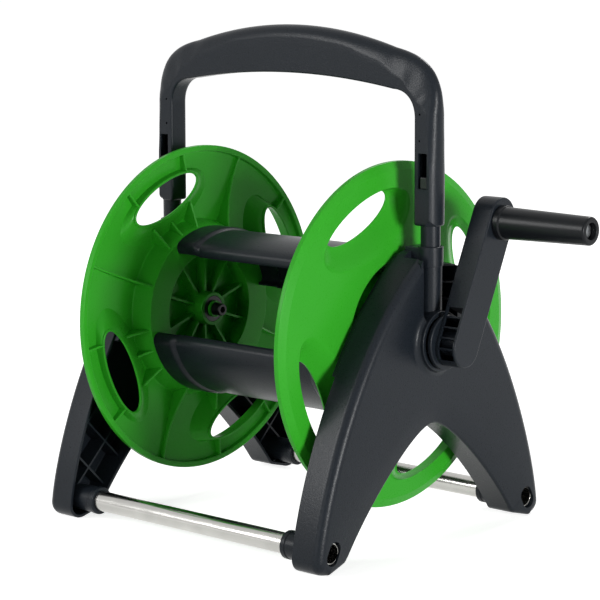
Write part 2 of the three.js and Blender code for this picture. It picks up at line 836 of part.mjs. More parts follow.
// front outline of the handle: two legs under a crowned grip
function handleShape() {
  const legOut = postOffset + legSide / 2;
  const legIn = postOffset - legSide / 2;
  const top = axleHeight + gripTop;
  const under = top - gripHeight;
  const crown = (x) => top - (x * x) / (2 * gripCrownRadius);
  const belly = (x) => under - (x * x) / (2 * gripUnderRadius);
  const outStart = legOut - shoulderOuter;
  const inStart = legIn - shoulderInner;
  const shape = new THREE.Shape();
  shape.moveTo(legOut, legFoot);
  shape.lineTo(legOut, crown(outStart) - shoulderOuter);
  shape.bezierCurveTo(
    legOut, crown(outStart) - shoulderOuter * 0.35,
    legOut - shoulderOuter * 0.35, crown(outStart) - shoulderOuter * 0.12,
    outStart, crown(outStart),
  );
  const steps = 10;
  for (let i = 1; i <= steps; i += 1) {
    const x = outStart - (2 * outStart * i) / steps;
    shape.lineTo(x, crown(x));
  }
  shape.bezierCurveTo(
    -legOut + shoulderOuter * 0.35, crown(outStart) - shoulderOuter * 0.12,
    -legOut, crown(outStart) - shoulderOuter * 0.35,
    -legOut, crown(outStart) - shoulderOuter,
  );
  shape.lineTo(-legOut, legFoot);
  shape.lineTo(-legIn, legFoot);
  shape.lineTo(-legIn, belly(inStart) - shoulderInner);
  shape.bezierCurveTo(
    -legIn, belly(inStart) - shoulderInner * 0.4,
    -legIn + shoulderInner * 0.4, belly(inStart),
    -inStart, belly(inStart),
  );
  for (let i = 1; i <= steps; i += 1) {
    const x = -inStart + (2 * inStart * i) / steps;
    shape.lineTo(x, belly(x));
  }
  shape.bezierCurveTo(
    legIn - shoulderInner * 0.4, belly(inStart),
    legIn, belly(inStart) - shoulderInner * 0.4,
    legIn, belly(inStart) - shoulderInner,
  );
  shape.lineTo(legIn, legFoot);
  shape.closePath();
  return shape;
}

function carryHandle() {
  const half = legSide / 2;
  const body = extrudeY(handleShape(), -half + legRound, half - legRound, {
    bevelEnabled: true,
    bevelThickness: legRound,
    bevelSize: legRound,
    bevelOffset: -legRound,
    bevelSegments: 2,
    curveSegments: 6,
  });
  const trimmed = body.subtract(box([-farAway, -farAway, 0], [farAway, farAway, legFoot + 0.01]));
  let handle = trimmed;
  for (const side of [-1, 1]) {
    const x = side * postOffset;
    handle = handle
      .subtract(placed(rodZ(postRadius + runGap, legFoot - overlap, axleHeight + legBoreTop, 20), { x }))
      .subtract(placed(latchWindow(side, latchFoot - runGap, -half - overlap), { x }));
  }
  return handle;
}

// a push button on a springy leaf that hangs down inside the post
function latchButton() {
  const half = latchWidth / 2;
  const face = -legSide / 2 + runGap;
  const inside = -(postRadius - postWall) + latchSink;
  const head = box([-half, face, latchFoot], [half, inside, latchTop]);
  const leafHalf = half - latchLeafInset;
  const leaf = box(
    [-leafHalf, inside - latchLeafWall / 2, latchFoot - latchLeafLength],
    [leafHalf, inside + latchLeafWall / 2, latchTop - latchLeafWall],
  );
  return union(head, leaf);
}

// ---- crank, drawn upright about the axle ----

function armShape(inset) {
  const radius = crankArmWidth / 2 - inset;
  const shape = new THREE.Shape();
  shape.absarc(0, crankThrow + crankArmLead, radius, 0, Math.PI, false);
  shape.absarc(0, -crankArmTail, radius, Math.PI, 2 * Math.PI, false);
  shape.closePath();
  return shape;
}

function crankArm() {
  const soft = crankArmSoft;
  const body = extrudeX(armShape(0), crankArmInner - 2 * soft, crankArmOuter - soft, {
    bevelEnabled: true,
    bevelThickness: soft,
    bevelSize: soft,
    bevelOffset: -soft,
    bevelSegments: 1,
    curveSegments: 9,
  }).subtract(box([0, -farAway, -farAway], [crankArmInner, farAway, farAway]));
  const plate = crankArmOuter - crankArmWall;
  const pocket = extrudeX(armShape(crankArmWall), crankArmInner - overlap, plate, { curveSegments: 9 });
  const ladderFoot = crankArmWall - crankArmTail - crankArmWidth / 2; // level with the pocket's end
  const sideWindow = box(
    [crankArmInner + crankArmWall, -crankArmWidth, ladderFoot],
    [plate, 0, ladderTop],
  );
  let arm = body.subtract(pocket).subtract(sideWindow);
  const rungs = [];
  for (let i = 0; i < ladderRungs; i += 1) {
    const z = ladderTop - i * ladderPitch;
    rungs.push(box(
      [crankArmInner, -crankArmWidth / 2, z - ladderWall / 2],
      [plate + overlap, crankArmWidth / 2, z + ladderWall / 2],
    ));
  }
  const spine = box(
    [crankArmInner + crankArmWall, -ladderWall / 2, ladderTop],
    [plate + overlap, ladderWall / 2, crankThrow - nutWidth],
  );
  const rungZone = extrudeX(armShape(crankArmWall / 6), crankArmInner, plate + overlap, { curveSegments: 9 });
  arm = union(
    arm,
    union(spine, ...rungs).intersect(rungZone),
    rodX(crankBossRadius, crankArmInner, plate + overlap, 20),
    placed(rodX(gripBossRadius, nutSeat, plate + overlap, 16), { z: crankThrow }),
  );
  const halfSquare = crankSquare / 2 + runGap;
  const spindleBore = rodX(spindleRadius + runGap, crankArmInner - overlap, crankArmOuter + overlap, 16);
  return arm
    .subtract(box([crankArmInner - overlap, -halfSquare, -halfSquare],
      [crankArmInner + crankSquareLength, halfSquare, halfSquare]))
    .subtract(rodX(boltRadius + runGap, crankArmInner, plate, 12))
    .subtract(placed(spindleBore, { z: crankThrow }));
}

function crankHub() {
  const half = crankSquare / 2;
  const driveHalf = driveSquare / 2;
  const soft = crankArmSoft;
  const shoulder = discPlate + runGap;
  const turnedPart = turnX([
    [0, shoulder],
    [crankShaftRadius, shoulder],
    [crankShaftRadius, crankHubInner],
    [crankHubRadius - soft, crankHubInner],
    [crankHubRadius, crankHubInner + soft],
    [crankHubRadius, crankHubOuter - soft],
    [crankHubRadius - soft, crankHubOuter],
    [0, crankHubOuter],
  ], 28);
  const drive = box([bossFace, -driveHalf, -driveHalf], [shoulder + overlap, driveHalf, driveHalf]);
  const armEnd = crankHubOuter + crankSquareLength;
  const spigot = box([crankHubOuter - overlap, -half, -half], [armEnd, half, half]);
  return union(turnedPart, drive, spigot).subtract(rodX(boltRadius + runGap, 0, crankArmOuter, 12));
}

function crankTieBolt() {
  const tip = crankArmOuter - crankArmWall - runGap;
  const seat = bossFace - runGap;
  const headFace = seat - boltFlangeWall;
  const head = solid(new THREE.CylinderGeometry(boltHeadRadius, boltHeadRadius, boltHeadLength + overlap, 6)
    .rotateZ(Math.PI / 2).translate(headFace - (boltHeadLength - overlap) / 2, 0, 0));
  const flange = rodX(boltFlangeRadius, headFace, seat, 20);
  return union(head, flange, rodX(boltRadius, headFace, tip, 12));
}

function crankGrip() {
  const end = gripEnd;
  const mouth = end - gripMouthDepth;
  return turnX([
    [spindleRadius + runGap, gripStart],
    [gripCollarRadius, gripStart],
    [gripCollarRadius, gripStart + gripCollarLength],
    [gripBaseRadius, gripStart + gripCollarLength + 1],
    [gripEndRadius, end - gripEndSoft],
    [gripEndRadius - gripEndSoft, end],
    [gripMouthRadius + 1, end],
    [gripMouthRadius, end - 1],
    [gripMouthRadius, mouth],
    [spindleRadius + runGap, mouth],
    [spindleRadius + runGap, gripStart],
  ], 20);
}

function gripSpindle() {
  const head = gripEnd - gripMouthDepth + runGap;
  return turnX([
    [0, crankArmInner + spindleTipInset],
    [spindleRadius, crankArmInner + spindleTipInset],
    [spindleRadius, head],
    [spindleHeadRadius, head],
    [spindleHeadRadius, head + spindleHeadLength - spindleHeadSoft],
    [spindleHeadRadius - spindleHeadSoft, head + spindleHeadLength],
    [0, head + spindleHeadLength],
  ], 16);
}

function gripNut() {
  const seat = nutSeat - runGap;
  const hexRadius = nutWidth / 2 / Math.cos(Math.PI / 6);
  return solid(new THREE.CylinderGeometry(hexRadius, hexRadius, nutHeight, 6)
    .rotateZ(Math.PI / 2).translate(seat - nutHeight / 2, 0, 0))
    .subtract(rodX(spindleRadius + runGap, 0, crankArmOuter, 16));
}

// ---- bearings and water way, about the axle ----

function rightBush() {
  const flangeFace = bushSeat - runGap;
  const end = recessBack + hubTubeOverlap;
  return turnX([
    [boreRadius, flangeFace - bushFlangeWall],
    [bushRadius + bushFlangeRim, flangeFace - bushFlangeWall],
    [bushRadius + bushFlangeRim, flangeFace],
    [bushRadius, flangeFace],
    [bushRadius, end],
    [boreRadius, end],
    [boreRadius, flangeFace - bushFlangeWall],
  ], 20);
}

function inletElbow() {
  const journalEnd = bossFace + spigotFlangeWall + runGap;
  const boreEnd = journalEnd + spigotStem + spigotTipGap;
  const flangeFace = frameFace + runGap;
  const journal = turnX([
    [0, -journalEnd],
    [journalRadius, -journalEnd],
    [journalRadius, -flangeFace],
    [elbowFlangeRadius, -flangeFace],
    [elbowFlangeRadius, -flangeFace - elbowFlangeWall],
    [elbowBodyRadius, -flangeFace - elbowFlangeWall],
    [elbowBodyRadius, -elbowEnd + elbowEndSoft],
    [elbowBodyRadius - elbowEndSoft, -elbowEnd],
    [0, -elbowEnd],
  ], 20);
  const branch = placed(rodZ(elbowBranchRadius, -elbowBranchDrop, 0, 16), { x: -elbowAxis });
  const stemTop = -elbowBranchDrop + nippleStemLength;
  const stemBore = rodZ(nippleStemRadius + runGap, -elbowBranchDrop - overlap, stemTop, 16);
  return union(journal, branch)
    .subtract(rodX(spigotRadius + runGap, -boreEnd, 0, 16))
    .subtract(rodX(waterBore, -elbowAxis, 0, 8))
    .subtract(placed(rodZ(waterBore, -elbowBranchDrop, 0, 8), { x: -elbowAxis }))
    .subtract(placed(stemBore, { x: -elbowAxis }));
}

function tapNipple() {
  const top = -elbowBranchDrop + nippleStemLength - runGap;
  const seat = -elbowBranchDrop - runGap;
  const collar = seat - nippleCollarLength;
  const end = collar - nippleLength;
  const nipple = turnZ([
    [waterBore, top],
    [nippleStemRadius, top],
    [nippleStemRadius, seat],
    [nippleCollarRadius, seat],
    [nippleCollarRadius, collar],
    [nippleRadius, collar],
    [nippleRadius, collar - nippleLength * 0.35],
    [nippleGrooveRadius, collar - nippleLength * 0.42],
    [nippleGrooveRadius, collar - nippleLength * 0.56],
    [nippleRadius, collar - nippleLength * 0.62],
    [nippleRadius, end + 2 * nippleEndSoft],
    [nippleRadius - nippleEndSoft, end],
    [waterBore, end],
    [waterBore, top],
  ], 12);
  return placed(nipple, { x: -elbowAxis });
}

function outletSpigot() {
  const face = bossFace;
  const groove = spigotRadius - oRingSection;
  const half = oRingSection / 2 + 4 * oRingSlack;
  const profile = [
    [waterBore, -(face - spigotReach)],
    [spigotRadius - spigotTipSoft, -(face - spigotReach)],
    [spigotRadius, -(face - spigotReach + spigotTipSoft)],
    [spigotRadius, -face],
    [crankShaftRadius, -face],
    [crankShaftRadius, -(face + spigotFlangeWall)],
    [spigotRadius, -(face + spigotFlangeWall)],
  ];
  for (const place of oRingPlaces) {
    const at = face + spigotFlangeWall + place;
    profile.push([spigotRadius, -(at - half)], [groove, -(at - half)]);
    profile.push([groove, -(at + half)], [spigotRadius, -(at + half)]);
  }
  profile.push([spigotRadius, -(face + spigotFlangeWall + spigotStem)]);
  profile.push([waterBore, -(face + spigotFlangeWall + spigotStem)]);
  profile.push([waterBore, -(face - spigotReach)]);
  return turnX(profile, 12);
}

function oRing(place) {
  const at = bossFace + spigotFlangeWall + place;
  const radius = oRingSection / 2 - oRingSlack;
  const middle = spigotRadius - radius + runGap / 2;
  const points = [];
  const sides = 5;
  for (let i = 0; i <= sides; i += 1) {
    const angle = (2 * Math.PI * (i % sides)) / sides;
    points.push([middle + radius * Math.cos(angle), -at + radius * Math.sin(angle)]);
  }
  return turnX(points, 12);
}

function spigotLockRing() {
  const inner = spigotRadius + runGap;
  const from = -(bossFace - runGap);
  return ringX(inner, inner + lockRingWall, from, from + lockRingLength, 12);
}

// ---- the cart ----

const cart = new THREE.Group();
cart.position.x = centreShift;

const rightFrame = geometryOf(sideFrame(true));
const leftFrame = mirroredX(geometryOf(sideFrame(false)));
cart.add(piece('right_side_frame', rightFrame, anthracite));
cart.add(piece('left_side_frame', leftFrame, anthracite));

for (const [name, side] of [['front_cross_bar', -1], ['rear_cross_bar', 1]]) {
  const bar = piece(name, crossBar(), steel);
  bar.position.set(0, side * barReach, barHeight);
  cart.add(bar);
}

for (const [name, side] of [['left', -1], ['right', 1]]) {
  const post = piece(`${name}_handle_post`, handlePost(side), anthracite);
  const button = piece(`${name}_latch_button`, latchButton(), black);
  for (const mesh of [post, button]) {
    mesh.position.set(side * postOffset, postSetback, 0);
    cart.add(mesh);
  }
}
const handle = piece('carry_handle', carryHandle(), anthracite);
handle.position.y = postSetback;
cart.add(handle);

const axle = new THREE.Group();
axle.position.z = axleHeight;
cart.add(axle);

const driveHalf = driveSquare / 2 + runGap;
const squareBore = box([0, -driveHalf, -driveHalf], [farAway, driveHalf, driveHalf]);
axle.add(piece('right_drum_disc', drumDisc(turned(squareBore, -crankTilt)), green));
axle.add(piece('left_drum_disc', mirroredX(drumDisc(rodX(boreRadius, 0, farAway, 24))), green));
axle.add(piece('upper_barrel_stave', barrelStave(staveStart), anthracite));
axle.add(piece('lower_barrel_stave', barrelStave(staveStart + 180), anthracite));
axle.add(piece('right_axle_bush', rightBush(), black));
axle.add(piece('water_inlet_elbow', inletElbow(), black));
axle.add(piece('tap_nipple', tapNipple(), black));
axle.add(piece('hose_outlet_spigot', outletSpigot(), black));
axle.add(piece('spigot_lock_ring', spigotLockRing(), green));
axle.add(piece('inner_o_ring', oRing(oRingPlaces[0]), rubber));
axle.add(piece('outer_o_ring', oRing(oRingPlaces[1]), rubber));

const crank = new THREE.Group();
crank.rotation.x = radians(-crankTilt);
axle.add(crank);
crank.add(piece('crank_hub', crankHub(), anthracite));
crank.add(piece('crank_arm', crankArm(), anthracite));
crank.add(piece('crank_tie_bolt', crankTieBolt(), steel));

const gripAxis = new THREE.Group();
gripAxis.position.z = crankThrow;
crank.add(gripAxis);
gripAxis.add(piece('crank_grip', crankGrip(), black));
gripAxis.add(piece('grip_spindle', gripSpindle(), steel));
gripAxis.add(piece('grip_nut', gripNut(), steel));

export default cart;
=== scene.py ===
import math

import bmesh
import bpy
from mathutils import Matrix, Vector
from mathutils.geometry import delaunay_2d_cdt


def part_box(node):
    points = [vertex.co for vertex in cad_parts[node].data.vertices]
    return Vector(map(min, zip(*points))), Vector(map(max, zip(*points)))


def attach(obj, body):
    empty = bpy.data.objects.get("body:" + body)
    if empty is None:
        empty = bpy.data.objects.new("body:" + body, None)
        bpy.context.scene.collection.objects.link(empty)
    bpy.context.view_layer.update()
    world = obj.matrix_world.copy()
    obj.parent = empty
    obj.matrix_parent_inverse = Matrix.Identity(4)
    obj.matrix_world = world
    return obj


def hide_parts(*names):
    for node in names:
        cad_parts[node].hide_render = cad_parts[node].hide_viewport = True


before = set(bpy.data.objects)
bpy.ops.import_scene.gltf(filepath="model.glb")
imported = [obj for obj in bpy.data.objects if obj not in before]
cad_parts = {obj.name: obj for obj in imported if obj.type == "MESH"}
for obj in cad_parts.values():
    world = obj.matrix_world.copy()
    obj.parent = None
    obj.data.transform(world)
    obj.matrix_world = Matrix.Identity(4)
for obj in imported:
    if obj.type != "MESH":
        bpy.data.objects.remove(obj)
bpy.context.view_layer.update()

scene = bpy.context.scene
print("frame loaded")

# Everything below is drawn in millimetres, measured from the middle of the cart:
# x along the axle towards the crank, y to the rear, z up.
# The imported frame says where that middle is.
mm = 0.001
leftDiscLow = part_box("left_drum_disc")[0]
rightDiscLow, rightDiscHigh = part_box("right_drum_disc")
middleX = (leftDiscLow.x + rightDiscHigh.x) / 2 / mm
axleHeight = (rightDiscLow.z + rightDiscHigh.z) / 2 / mm
gap = 0.3  # clearance between pieces that touch or turn in each other
softSteps = 4
quarterBend = 0.55  # reach of a Bezier curve's handles in a quarter turn


# flat drawing

def linear(hexColour):
    channels = [int(hexColour[i:i + 2], 16) / 255 for i in (1, 3, 5)]
    return [c / 12.92 if c <= 0.04045 else ((c + 0.055) / 1.055) ** 2.4 for c in channels] + [1]


def lerp(a, b, share):
    return a + (b - a) * share


def smooth(share):
    share = min(max(share, 0), 1)
    return share * share * (3 - 2 * share)


def bezier(p0, p1, p2, p3, steps, upTo=1):
    points = []
    for i in range(steps + 1):
        t = upTo * i / steps
        s = 1 - t
        points.append(tuple(
            s ** 3 * a + 3 * s * s * t * b + 3 * s * t * t * c + t ** 3 * d
            for a, b, c, d in zip(p0, p1, p2, p3)))
    return points


# an arc that rounds a corner between two directions
def cornerArc(corner, before, after, radius, steps=6):
    corner = Vector(corner)
    into = (corner - Vector(before)).normalized()
    out = (Vector(after) - corner).normalized()
    turn = math.atan2(into.x * out.y - into.y * out.x, into.dot(out))
    if abs(turn) < 1e-4:
        return [tuple(corner)]
    start = corner - into * radius * math.tan(abs(turn) / 2)
    side = math.copysign(1, turn)
    centre = start + Vector((-into.y, into.x)) * radius * side
    first = start - centre
    return [tuple(centre + Matrix.Rotation(turn * i / steps, 2) @ first) for i in range(steps + 1)]


# a line with every corner rounded; a radius is shortened where the sides are short
def rounded(points, radius, closed=True, steps=softSteps):
    result = []
    count = len(points)
    for i, point in enumerate(points):
        if not closed and i in (0, count - 1):
            result.append(tuple(point))
            continue
        before = Vector(points[i - 1])
        after = Vector(points[(i + 1) % count])
        here = Vector(point)
        own = radius[i] if isinstance(radius, (list, tuple)) else radius
        into = here - before
        out = after - here
        turn = abs(into.angle(out, 0))
        if own <= 0 or turn < 0.02 or into.length < 1e-6 or out.length < 1e-6:
            result.append(tuple(point))
            continue
        room = 0.49 * min(into.length, out.length)
        own = min(own, room / max(math.tan(turn / 2), 1e-6))
        result += cornerArc(here, before, after, own, steps)
    return result


def inset(loop, amount):
    count = len(loop)
    amounts = amount if isinstance(amount, (list, tuple)) else [amount] * count
    moved = []
    for i in range(count):
        a, b, c = Vector(loop[i - 1]), Vector(loop[i]), Vector(loop[(i + 1) % count])
        along = ((b - a).normalized() + (c - b).normalized())
        along = along.normalized() if along.length > 1e-9 else (c - a).normalized()
        lean = max(along.dot((c - b).normalized()), 0.35)
        moved.append((b.x - along.y * amounts[i] / lean, b.y + along.x * amounts[i] / lean))
    return moved


def insideLoop(point, loop):
    inside = False
    for i in range(len(loop)):
        (ay, az), (by, bz) = loop[i - 1], loop[i]
        if ((az > point[1]) != (bz > point[1])
                and point[0] < (by - ay) * (point[1] - az) / (bz - az) + ay):
            inside = not inside
    return inside


def rectangle(lowU, lowV, highU, highV, radius=0, steps=softSteps):
    corners = [(lowU, lowV), (highU, lowV), (highU, highV), (lowU, highV)]
    return rounded(corners, radius, True, steps) if radius else corners


def stadium(halfLength, halfWidth, steps=12):
    straight = halfLength - halfWidth
    loop = []
    for end, first in ((1, 0), (-1, math.pi)):
        for i in range(steps + 1):
            angle = first + math.pi * i / steps
            loop.append((halfWidth * math.cos(angle), end * straight + halfWidth * math.sin(angle)))
    return loop


# solids

def linked(name, data):
    obj = bpy.data.objects.new(name, data)
    scene.collection.objects.link(obj)
    return obj


# merges doubles and turns every face outwards
def outwards(obj):
    work = bmesh.new()
    work.from_mesh(obj.data)
    bmesh.ops.remove_doubles(work, verts=work.verts, dist=1e-4)
    bmesh.ops.recalc_face_normals(work, faces=work.faces)
    work.to_mesh(obj.data)
    work.free()
    return obj


def newObject(name, points, faces):
    mesh = bpy.data.meshes.new(name)
    mesh.from_pydata([tuple(p) for p in points], [], faces)
    return outwards(linked(name, mesh))


# a skin over a row of rings that have the same count of points
def joinRings(rings, caps=True):
    count = len(rings[0])
    points = [p for ring in rings for p in ring]
    end = (len(rings) - 1) * count
    faces = []
    for base in range(0, end, count):
        for i in range(count):
            j = (i + 1) % count
            faces.append((base + i, base + j, base + count + j, base + count + i))
    if caps:
        faces += [tuple(reversed(range(count))), tuple(range(end, end + count))]
    return points, faces


def addPart(points, faces, part):
    start = len(points)
    points += part[0]
    faces += [tuple(i + start for i in face) for face in part[1]]


# a profile of (radius, place) turned about the x or z axis; it closes on itself or ends on the axis
def turned(name, profile, count=64, axis="x", at=(0, 0, 0)):
    points = []
    rows = []
    for radius, place in profile:
        if radius < 1e-6:
            rows.append([len(points)])
            points.append((0, 0, place))
            continue
        rows.append(list(range(len(points), len(points) + count)))
        for i in range(count):
            angle = 2 * math.pi * i / count
            points.append((radius * math.cos(angle), radius * math.sin(angle), place))
    faces = []
    onAxis = profile[0][0] < 1e-6
    for i in range(len(rows) if not onAxis else len(rows) - 1):
        a, b = rows[i], rows[(i + 1) % len(rows)]
        for k in range(count):
            n = (k + 1) % count
            if len(a) == 1 and len(b) == 1:
                break
            if len(a) == 1:
                faces.append((a[0], b[n], b[k]))
            elif len(b) == 1:
                faces.append((a[k], a[n], b[0]))
            else:
                faces.append((a[k], a[n], b[n], b[k]))
    if axis == "x":
        points = [(z, x, y) for x, y, z in points]
    points = [(x + at[0], y + at[1], z + at[2]) for x, y, z in points]
    return newObject(name, points, faces)


# a plain round solid between two places along an axis
def rod(name, radius, start, end, count, axis="x", at=(0, 0, 0)):
    return turned(name, [(0, start), (radius, start), (radius, end), (0, end)], count, axis, at)


# a flat loop given a thickness along x or y, its edges rounded at both ends
def plate(name, loop, start, end, axis="x", soft=0.0, softStart=None, steps=3):
    softStart = soft if softStart is None else softStart
    rings = []
    for own, place, way in ((softStart, start, 1), (soft, end, -1)):
        side = []
        for i in range(steps + 1 if own > 0 else 1):
            angle = math.pi / 2 * i / steps
            moved = inset(loop, own * (1 - math.sin(angle))) if own > 0 else loop
            side.append((moved, place + way * own * (1 - math.cos(angle)) if own > 0 else place))
        rings += side if way == 1 else side[::-1]
    order = {"x": (2, 0, 1), "y": (0, 2, 1)}[axis]
    solid = [[[(u, v, place)[k] for k in order] for u, v in moved] for moved, place in rings]
    return newObject(name, *joinRings(solid))


def block(name, low, high, soft=0.0):
    return plate(name, rectangle(low[1], low[2], high[1], high[2], soft), low[0], high[0], "x",
                 soft)


def move(obj, turn=0, offset=(0, 0, 0)):
    obj.data.transform(Matrix.Translation(offset) @ Matrix.Rotation(math.radians(turn), 4, "X"))
    return obj


def mirrored(obj):
    obj.data.transform(Matrix.Scale(-1, 4, (1, 0, 0)))
    obj.data.flip_normals()
    return obj


def settled(obj):
    depsgraph = bpy.context.evaluated_depsgraph_get()
    mesh = bpy.data.meshes.new_from_object(obj.evaluated_get(depsgraph))
    obj.modifiers.clear()
    old = obj.data
    obj.data = mesh
    bpy.data.meshes.remove(old)
    return obj


def drop(*objects):
    for obj in objects:
        mesh = obj.data
        bpy.data.objects.remove(obj)
        if mesh.users == 0:
            bpy.data.meshes.remove(mesh)


# joins, cuts or intersects solids, one after the other
def combine(obj, operation, *others):
    for other in others:
        modifier = obj.modifiers.new("cut", "BOOLEAN")
        modifier.operation = operation
        modifier.solver = "MANIFOLD"
        modifier.object = other
    bpy.context.view_layer.update()
    settled(obj)
    drop(*others)
    return obj


# nodes

def addNode(tree, kind, inputs=None, **settings):
    node = tree.nodes.new(kind)
    for key, value in settings.items():
        setattr(node, key, value)
    for key, value in (inputs or {}).items():
        if isinstance(value, bpy.types.NodeSocket):
            tree.links.new(value, node.inputs[key])
        else:
            node.inputs[key].default_value = value
    return node


def emptyTree(owner):
    owner.use_nodes = True
    owner.node_tree.nodes.clear()
    return owner.node_tree


# Moulded plastic and rubber: matt to satin, an even grain from the mould, colour right through,
# slightly paler where the melt flowed thin. The real grain is about 0.3 mm, too fine for a picture
# of the whole cart, so it is drawn 0.8 to 1.4 mm wide and shallow.
def mouldedPlastic(name, values):
    material = bpy.data.materials.new(name)
    tree = emptyTree(material)
    place = addNode(tree, "ShaderNodeTexCoord").outputs["Object"]
    grain = addNode(tree, "ShaderNodeTexNoise", {
        "Vector": place, "Scale": 1 / (values["grainWidth"] * mm), "Detail": 2.0,
        "Roughness": 0.55})
    flow = addNode(tree, "ShaderNodeTexNoise", {
        "Vector": place, "Scale": 1 / (values["flowWidth"] * mm), "Detail": 3.0, "Roughness": 0.5})
    tint = addNode(tree, "ShaderNodeMix", {
        0: flow.outputs["Fac"], 6: linear(values["colour"]), 7: linear(values["flowColour"])},
        data_type="RGBA")
    speck = addNode(tree, "ShaderNodeMapRange", {
        "Value": grain.outputs["Fac"], "From Min": 0.3, "From Max": 0.7,
        "To Min": 1 - values["speckle"], "To Max": 1 + values["speckle"]})
    colour = addNode(tree, "ShaderNodeMix", {
        0: 1.0, 6: tint.outputs[2], 7: speck.outputs["Result"]}, data_type="RGBA",
        blend_type="MULTIPLY")
    rough = addNode(tree, "ShaderNodeMapRange", {
        "Value": grain.outputs["Fac"], "From Min": 0.25, "From Max": 0.75,
        "To Min": values["roughness"] - 0.05, "To Max": values["roughness"] + 0.05})
    bump = addNode(tree, "ShaderNodeBump", {
        "Height": grain.outputs["Fac"], "Strength": values["grainStrength"],
        "Distance": values["grainDepth"] * mm})
    shader = addNode(tree, "ShaderNodeBsdfPrincipled", {
        "Base Color": colour.outputs[2], "Roughness": rough.outputs["Result"], "IOR": 1.49,
        "Normal": bump.outputs["Normal"], "Specular IOR Level": values["specular"]})
    addNode(tree, "ShaderNodeOutputMaterial", {"Surface": shader.outputs["BSDF"]})
    return material


patchWidth, scratchDepth = 30, 0.02  # the duller patches on metal and its scratches


# Drawn or turned steel: fine scratches and lines that run round or along the piece.
def metal(name, values):
    material = bpy.data.materials.new(name)
    tree = emptyTree(material)
    place = addNode(tree, "ShaderNodeTexCoord").outputs["Object"]
    stretched = addNode(tree, "ShaderNodeMapping", {"Vector": place, "Scale": values["stretch"]})
    lines = addNode(tree, "ShaderNodeTexNoise", {
        "Vector": stretched.outputs["Vector"], "Scale": 1 / (values["lineWidth"] * mm),
        "Detail": 3.0})
    cloud = addNode(tree, "ShaderNodeTexNoise",
                    {"Vector": place, "Scale": 1 / (patchWidth * mm), "Detail": 2.0})
    tint = addNode(tree, "ShaderNodeMix", {
        0: cloud.outputs["Fac"], 6: linear(values["colour"]), 7: linear(values["dullColour"])},
        data_type="RGBA")
    rough = addNode(tree, "ShaderNodeMapRange", {
        "Value": lines.outputs["Fac"], "From Min": 0.3, "From Max": 0.7,
        "To Min": values["roughness"] * 0.75, "To Max": values["roughness"] * 1.3})
    bump = addNode(tree, "ShaderNodeBump", {
        "Height": lines.outputs["Fac"], "Strength": 0.25, "Distance": scratchDepth * mm})
    shader = addNode(tree, "ShaderNodeBsdfPrincipled", {
        "Base Color": tint.outputs[2], "Metallic": 1.0, "Roughness": rough.outputs["Result"],
        "Normal": bump.outputs["Normal"]})
    addNode(tree, "ShaderNodeOutputMaterial", {"Surface": shader.outputs["BSDF"]})
    return material


# spark-eroded polypropylene, bright green, satin with a soft sheen
greenPlastic = mouldedPlastic("greenMouldedPolypropylene", {
    "colour": "#33a626", "flowColour": "#38ac2a", "grainWidth": 1.4, "flowWidth": 70,
    "speckle": 0.02,
    "roughness": 0.3, "grainStrength": 0.12, "grainDepth": 0.06, "specular": 0.13})
# the same, grey-black, with a deeper grain that makes it look dry
anthracitePlastic = mouldedPlastic("anthraciteMouldedPolypropylene", {
    "colour": "#191e24", "flowColour": "#1d2228", "grainWidth": 1.3, "flowWidth": 60,
    "speckle": 0.2,
    "roughness": 0.31, "grainStrength": 0.6, "grainDepth": 0.2, "specular": 0.16})
# acetal fittings, black, smooth from a polished mould
blackPlastic = mouldedPlastic("blackMouldedAcetal", {
    "colour": "#131517", "flowColour": "#17191b", "grainWidth": 1.2, "flowWidth": 40,
    "speckle": 0.04,
    "roughness": 0.36, "grainStrength": 0.08, "grainDepth": 0.05, "specular": 0.3})
# hard black plastic of the turning grip, almost glossy from handling
gripPlastic = mouldedPlastic("blackMouldedGripPolypropylene", {
    "colour": "#0e1013", "flowColour": "#121518", "grainWidth": 1.1, "flowWidth": 35,
    "speckle": 0.05,
    "roughness": 0.32, "grainStrength": 0.14, "grainDepth": 0.05, "specular": 0.16})
# nitrile rubber seals, matt and slightly dusty
sealRubber = mouldedPlastic("mouldedNitrileRubber", {
    "colour": "#121212", "flowColour": "#181818", "grainWidth": 0.8, "flowWidth": 12,
    "speckle": 0.06,
    "roughness": 0.75, "grainStrength": 0.2, "grainDepth": 0.03, "specular": 0.35})
# chromed steel tube: bright, with faint lines along it from drawing
polishedSteel = metal("chromedDrawnSteelTube", {
    "colour": "#c4c3bf", "dullColour": "#a8a7a3", "roughness": 0.19, "lineWidth": 1.0,
    "stretch": (0.03, 1, 1)})
# zinc-plated turned steel with fine turning marks round it; both its colours are set darker than
# bright zinc as painted shade, so the spindle's head deep in the grip's mouth reads dark
zincSteel = metal("zincPlatedTurnedSteel", {
    "colour": "#a3a6a8", "dullColour": "#8b8f92", "roughness": 0.34, "lineWidth": 0.8,
    "stretch": (1, 0.1, 0.1)})
materials = {
    "green_plastic": greenPlastic, "anthracite_plastic": anthracitePlastic,
    "black_plastic": blackPlastic,
    "grip_plastic": gripPlastic, "seal_rubber": sealRubber, "polished_steel": polishedSteel,
    "zinc_steel": zincSteel,
}
print("materials made")


# gives a solid its finish, moves it to its place in metres and hangs it on its body
def finishPiece(obj, name, slot, body, nodes, height=0.0, angle=32):
    obj.name = name
    obj.data.transform(Matrix.Scale(mm, 4) @ Matrix.Translation((middleX, 0, height)))
    obj.data.materials.clear()
    obj.data.materials.append(materials[slot])
    obj.data.shade_smooth()
    obj.data.set_sharp_from_angle(angle=math.radians(angle))
    modifier = obj.modifiers.new("evenShading", "WEIGHTED_NORMAL")
    modifier.keep_sharp = True
    modifier.weight = 80
    bpy.context.view_layer.update()
    settled(obj)
    obj.data.name = name
    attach(obj, body)
    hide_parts(*nodes)
    return obj


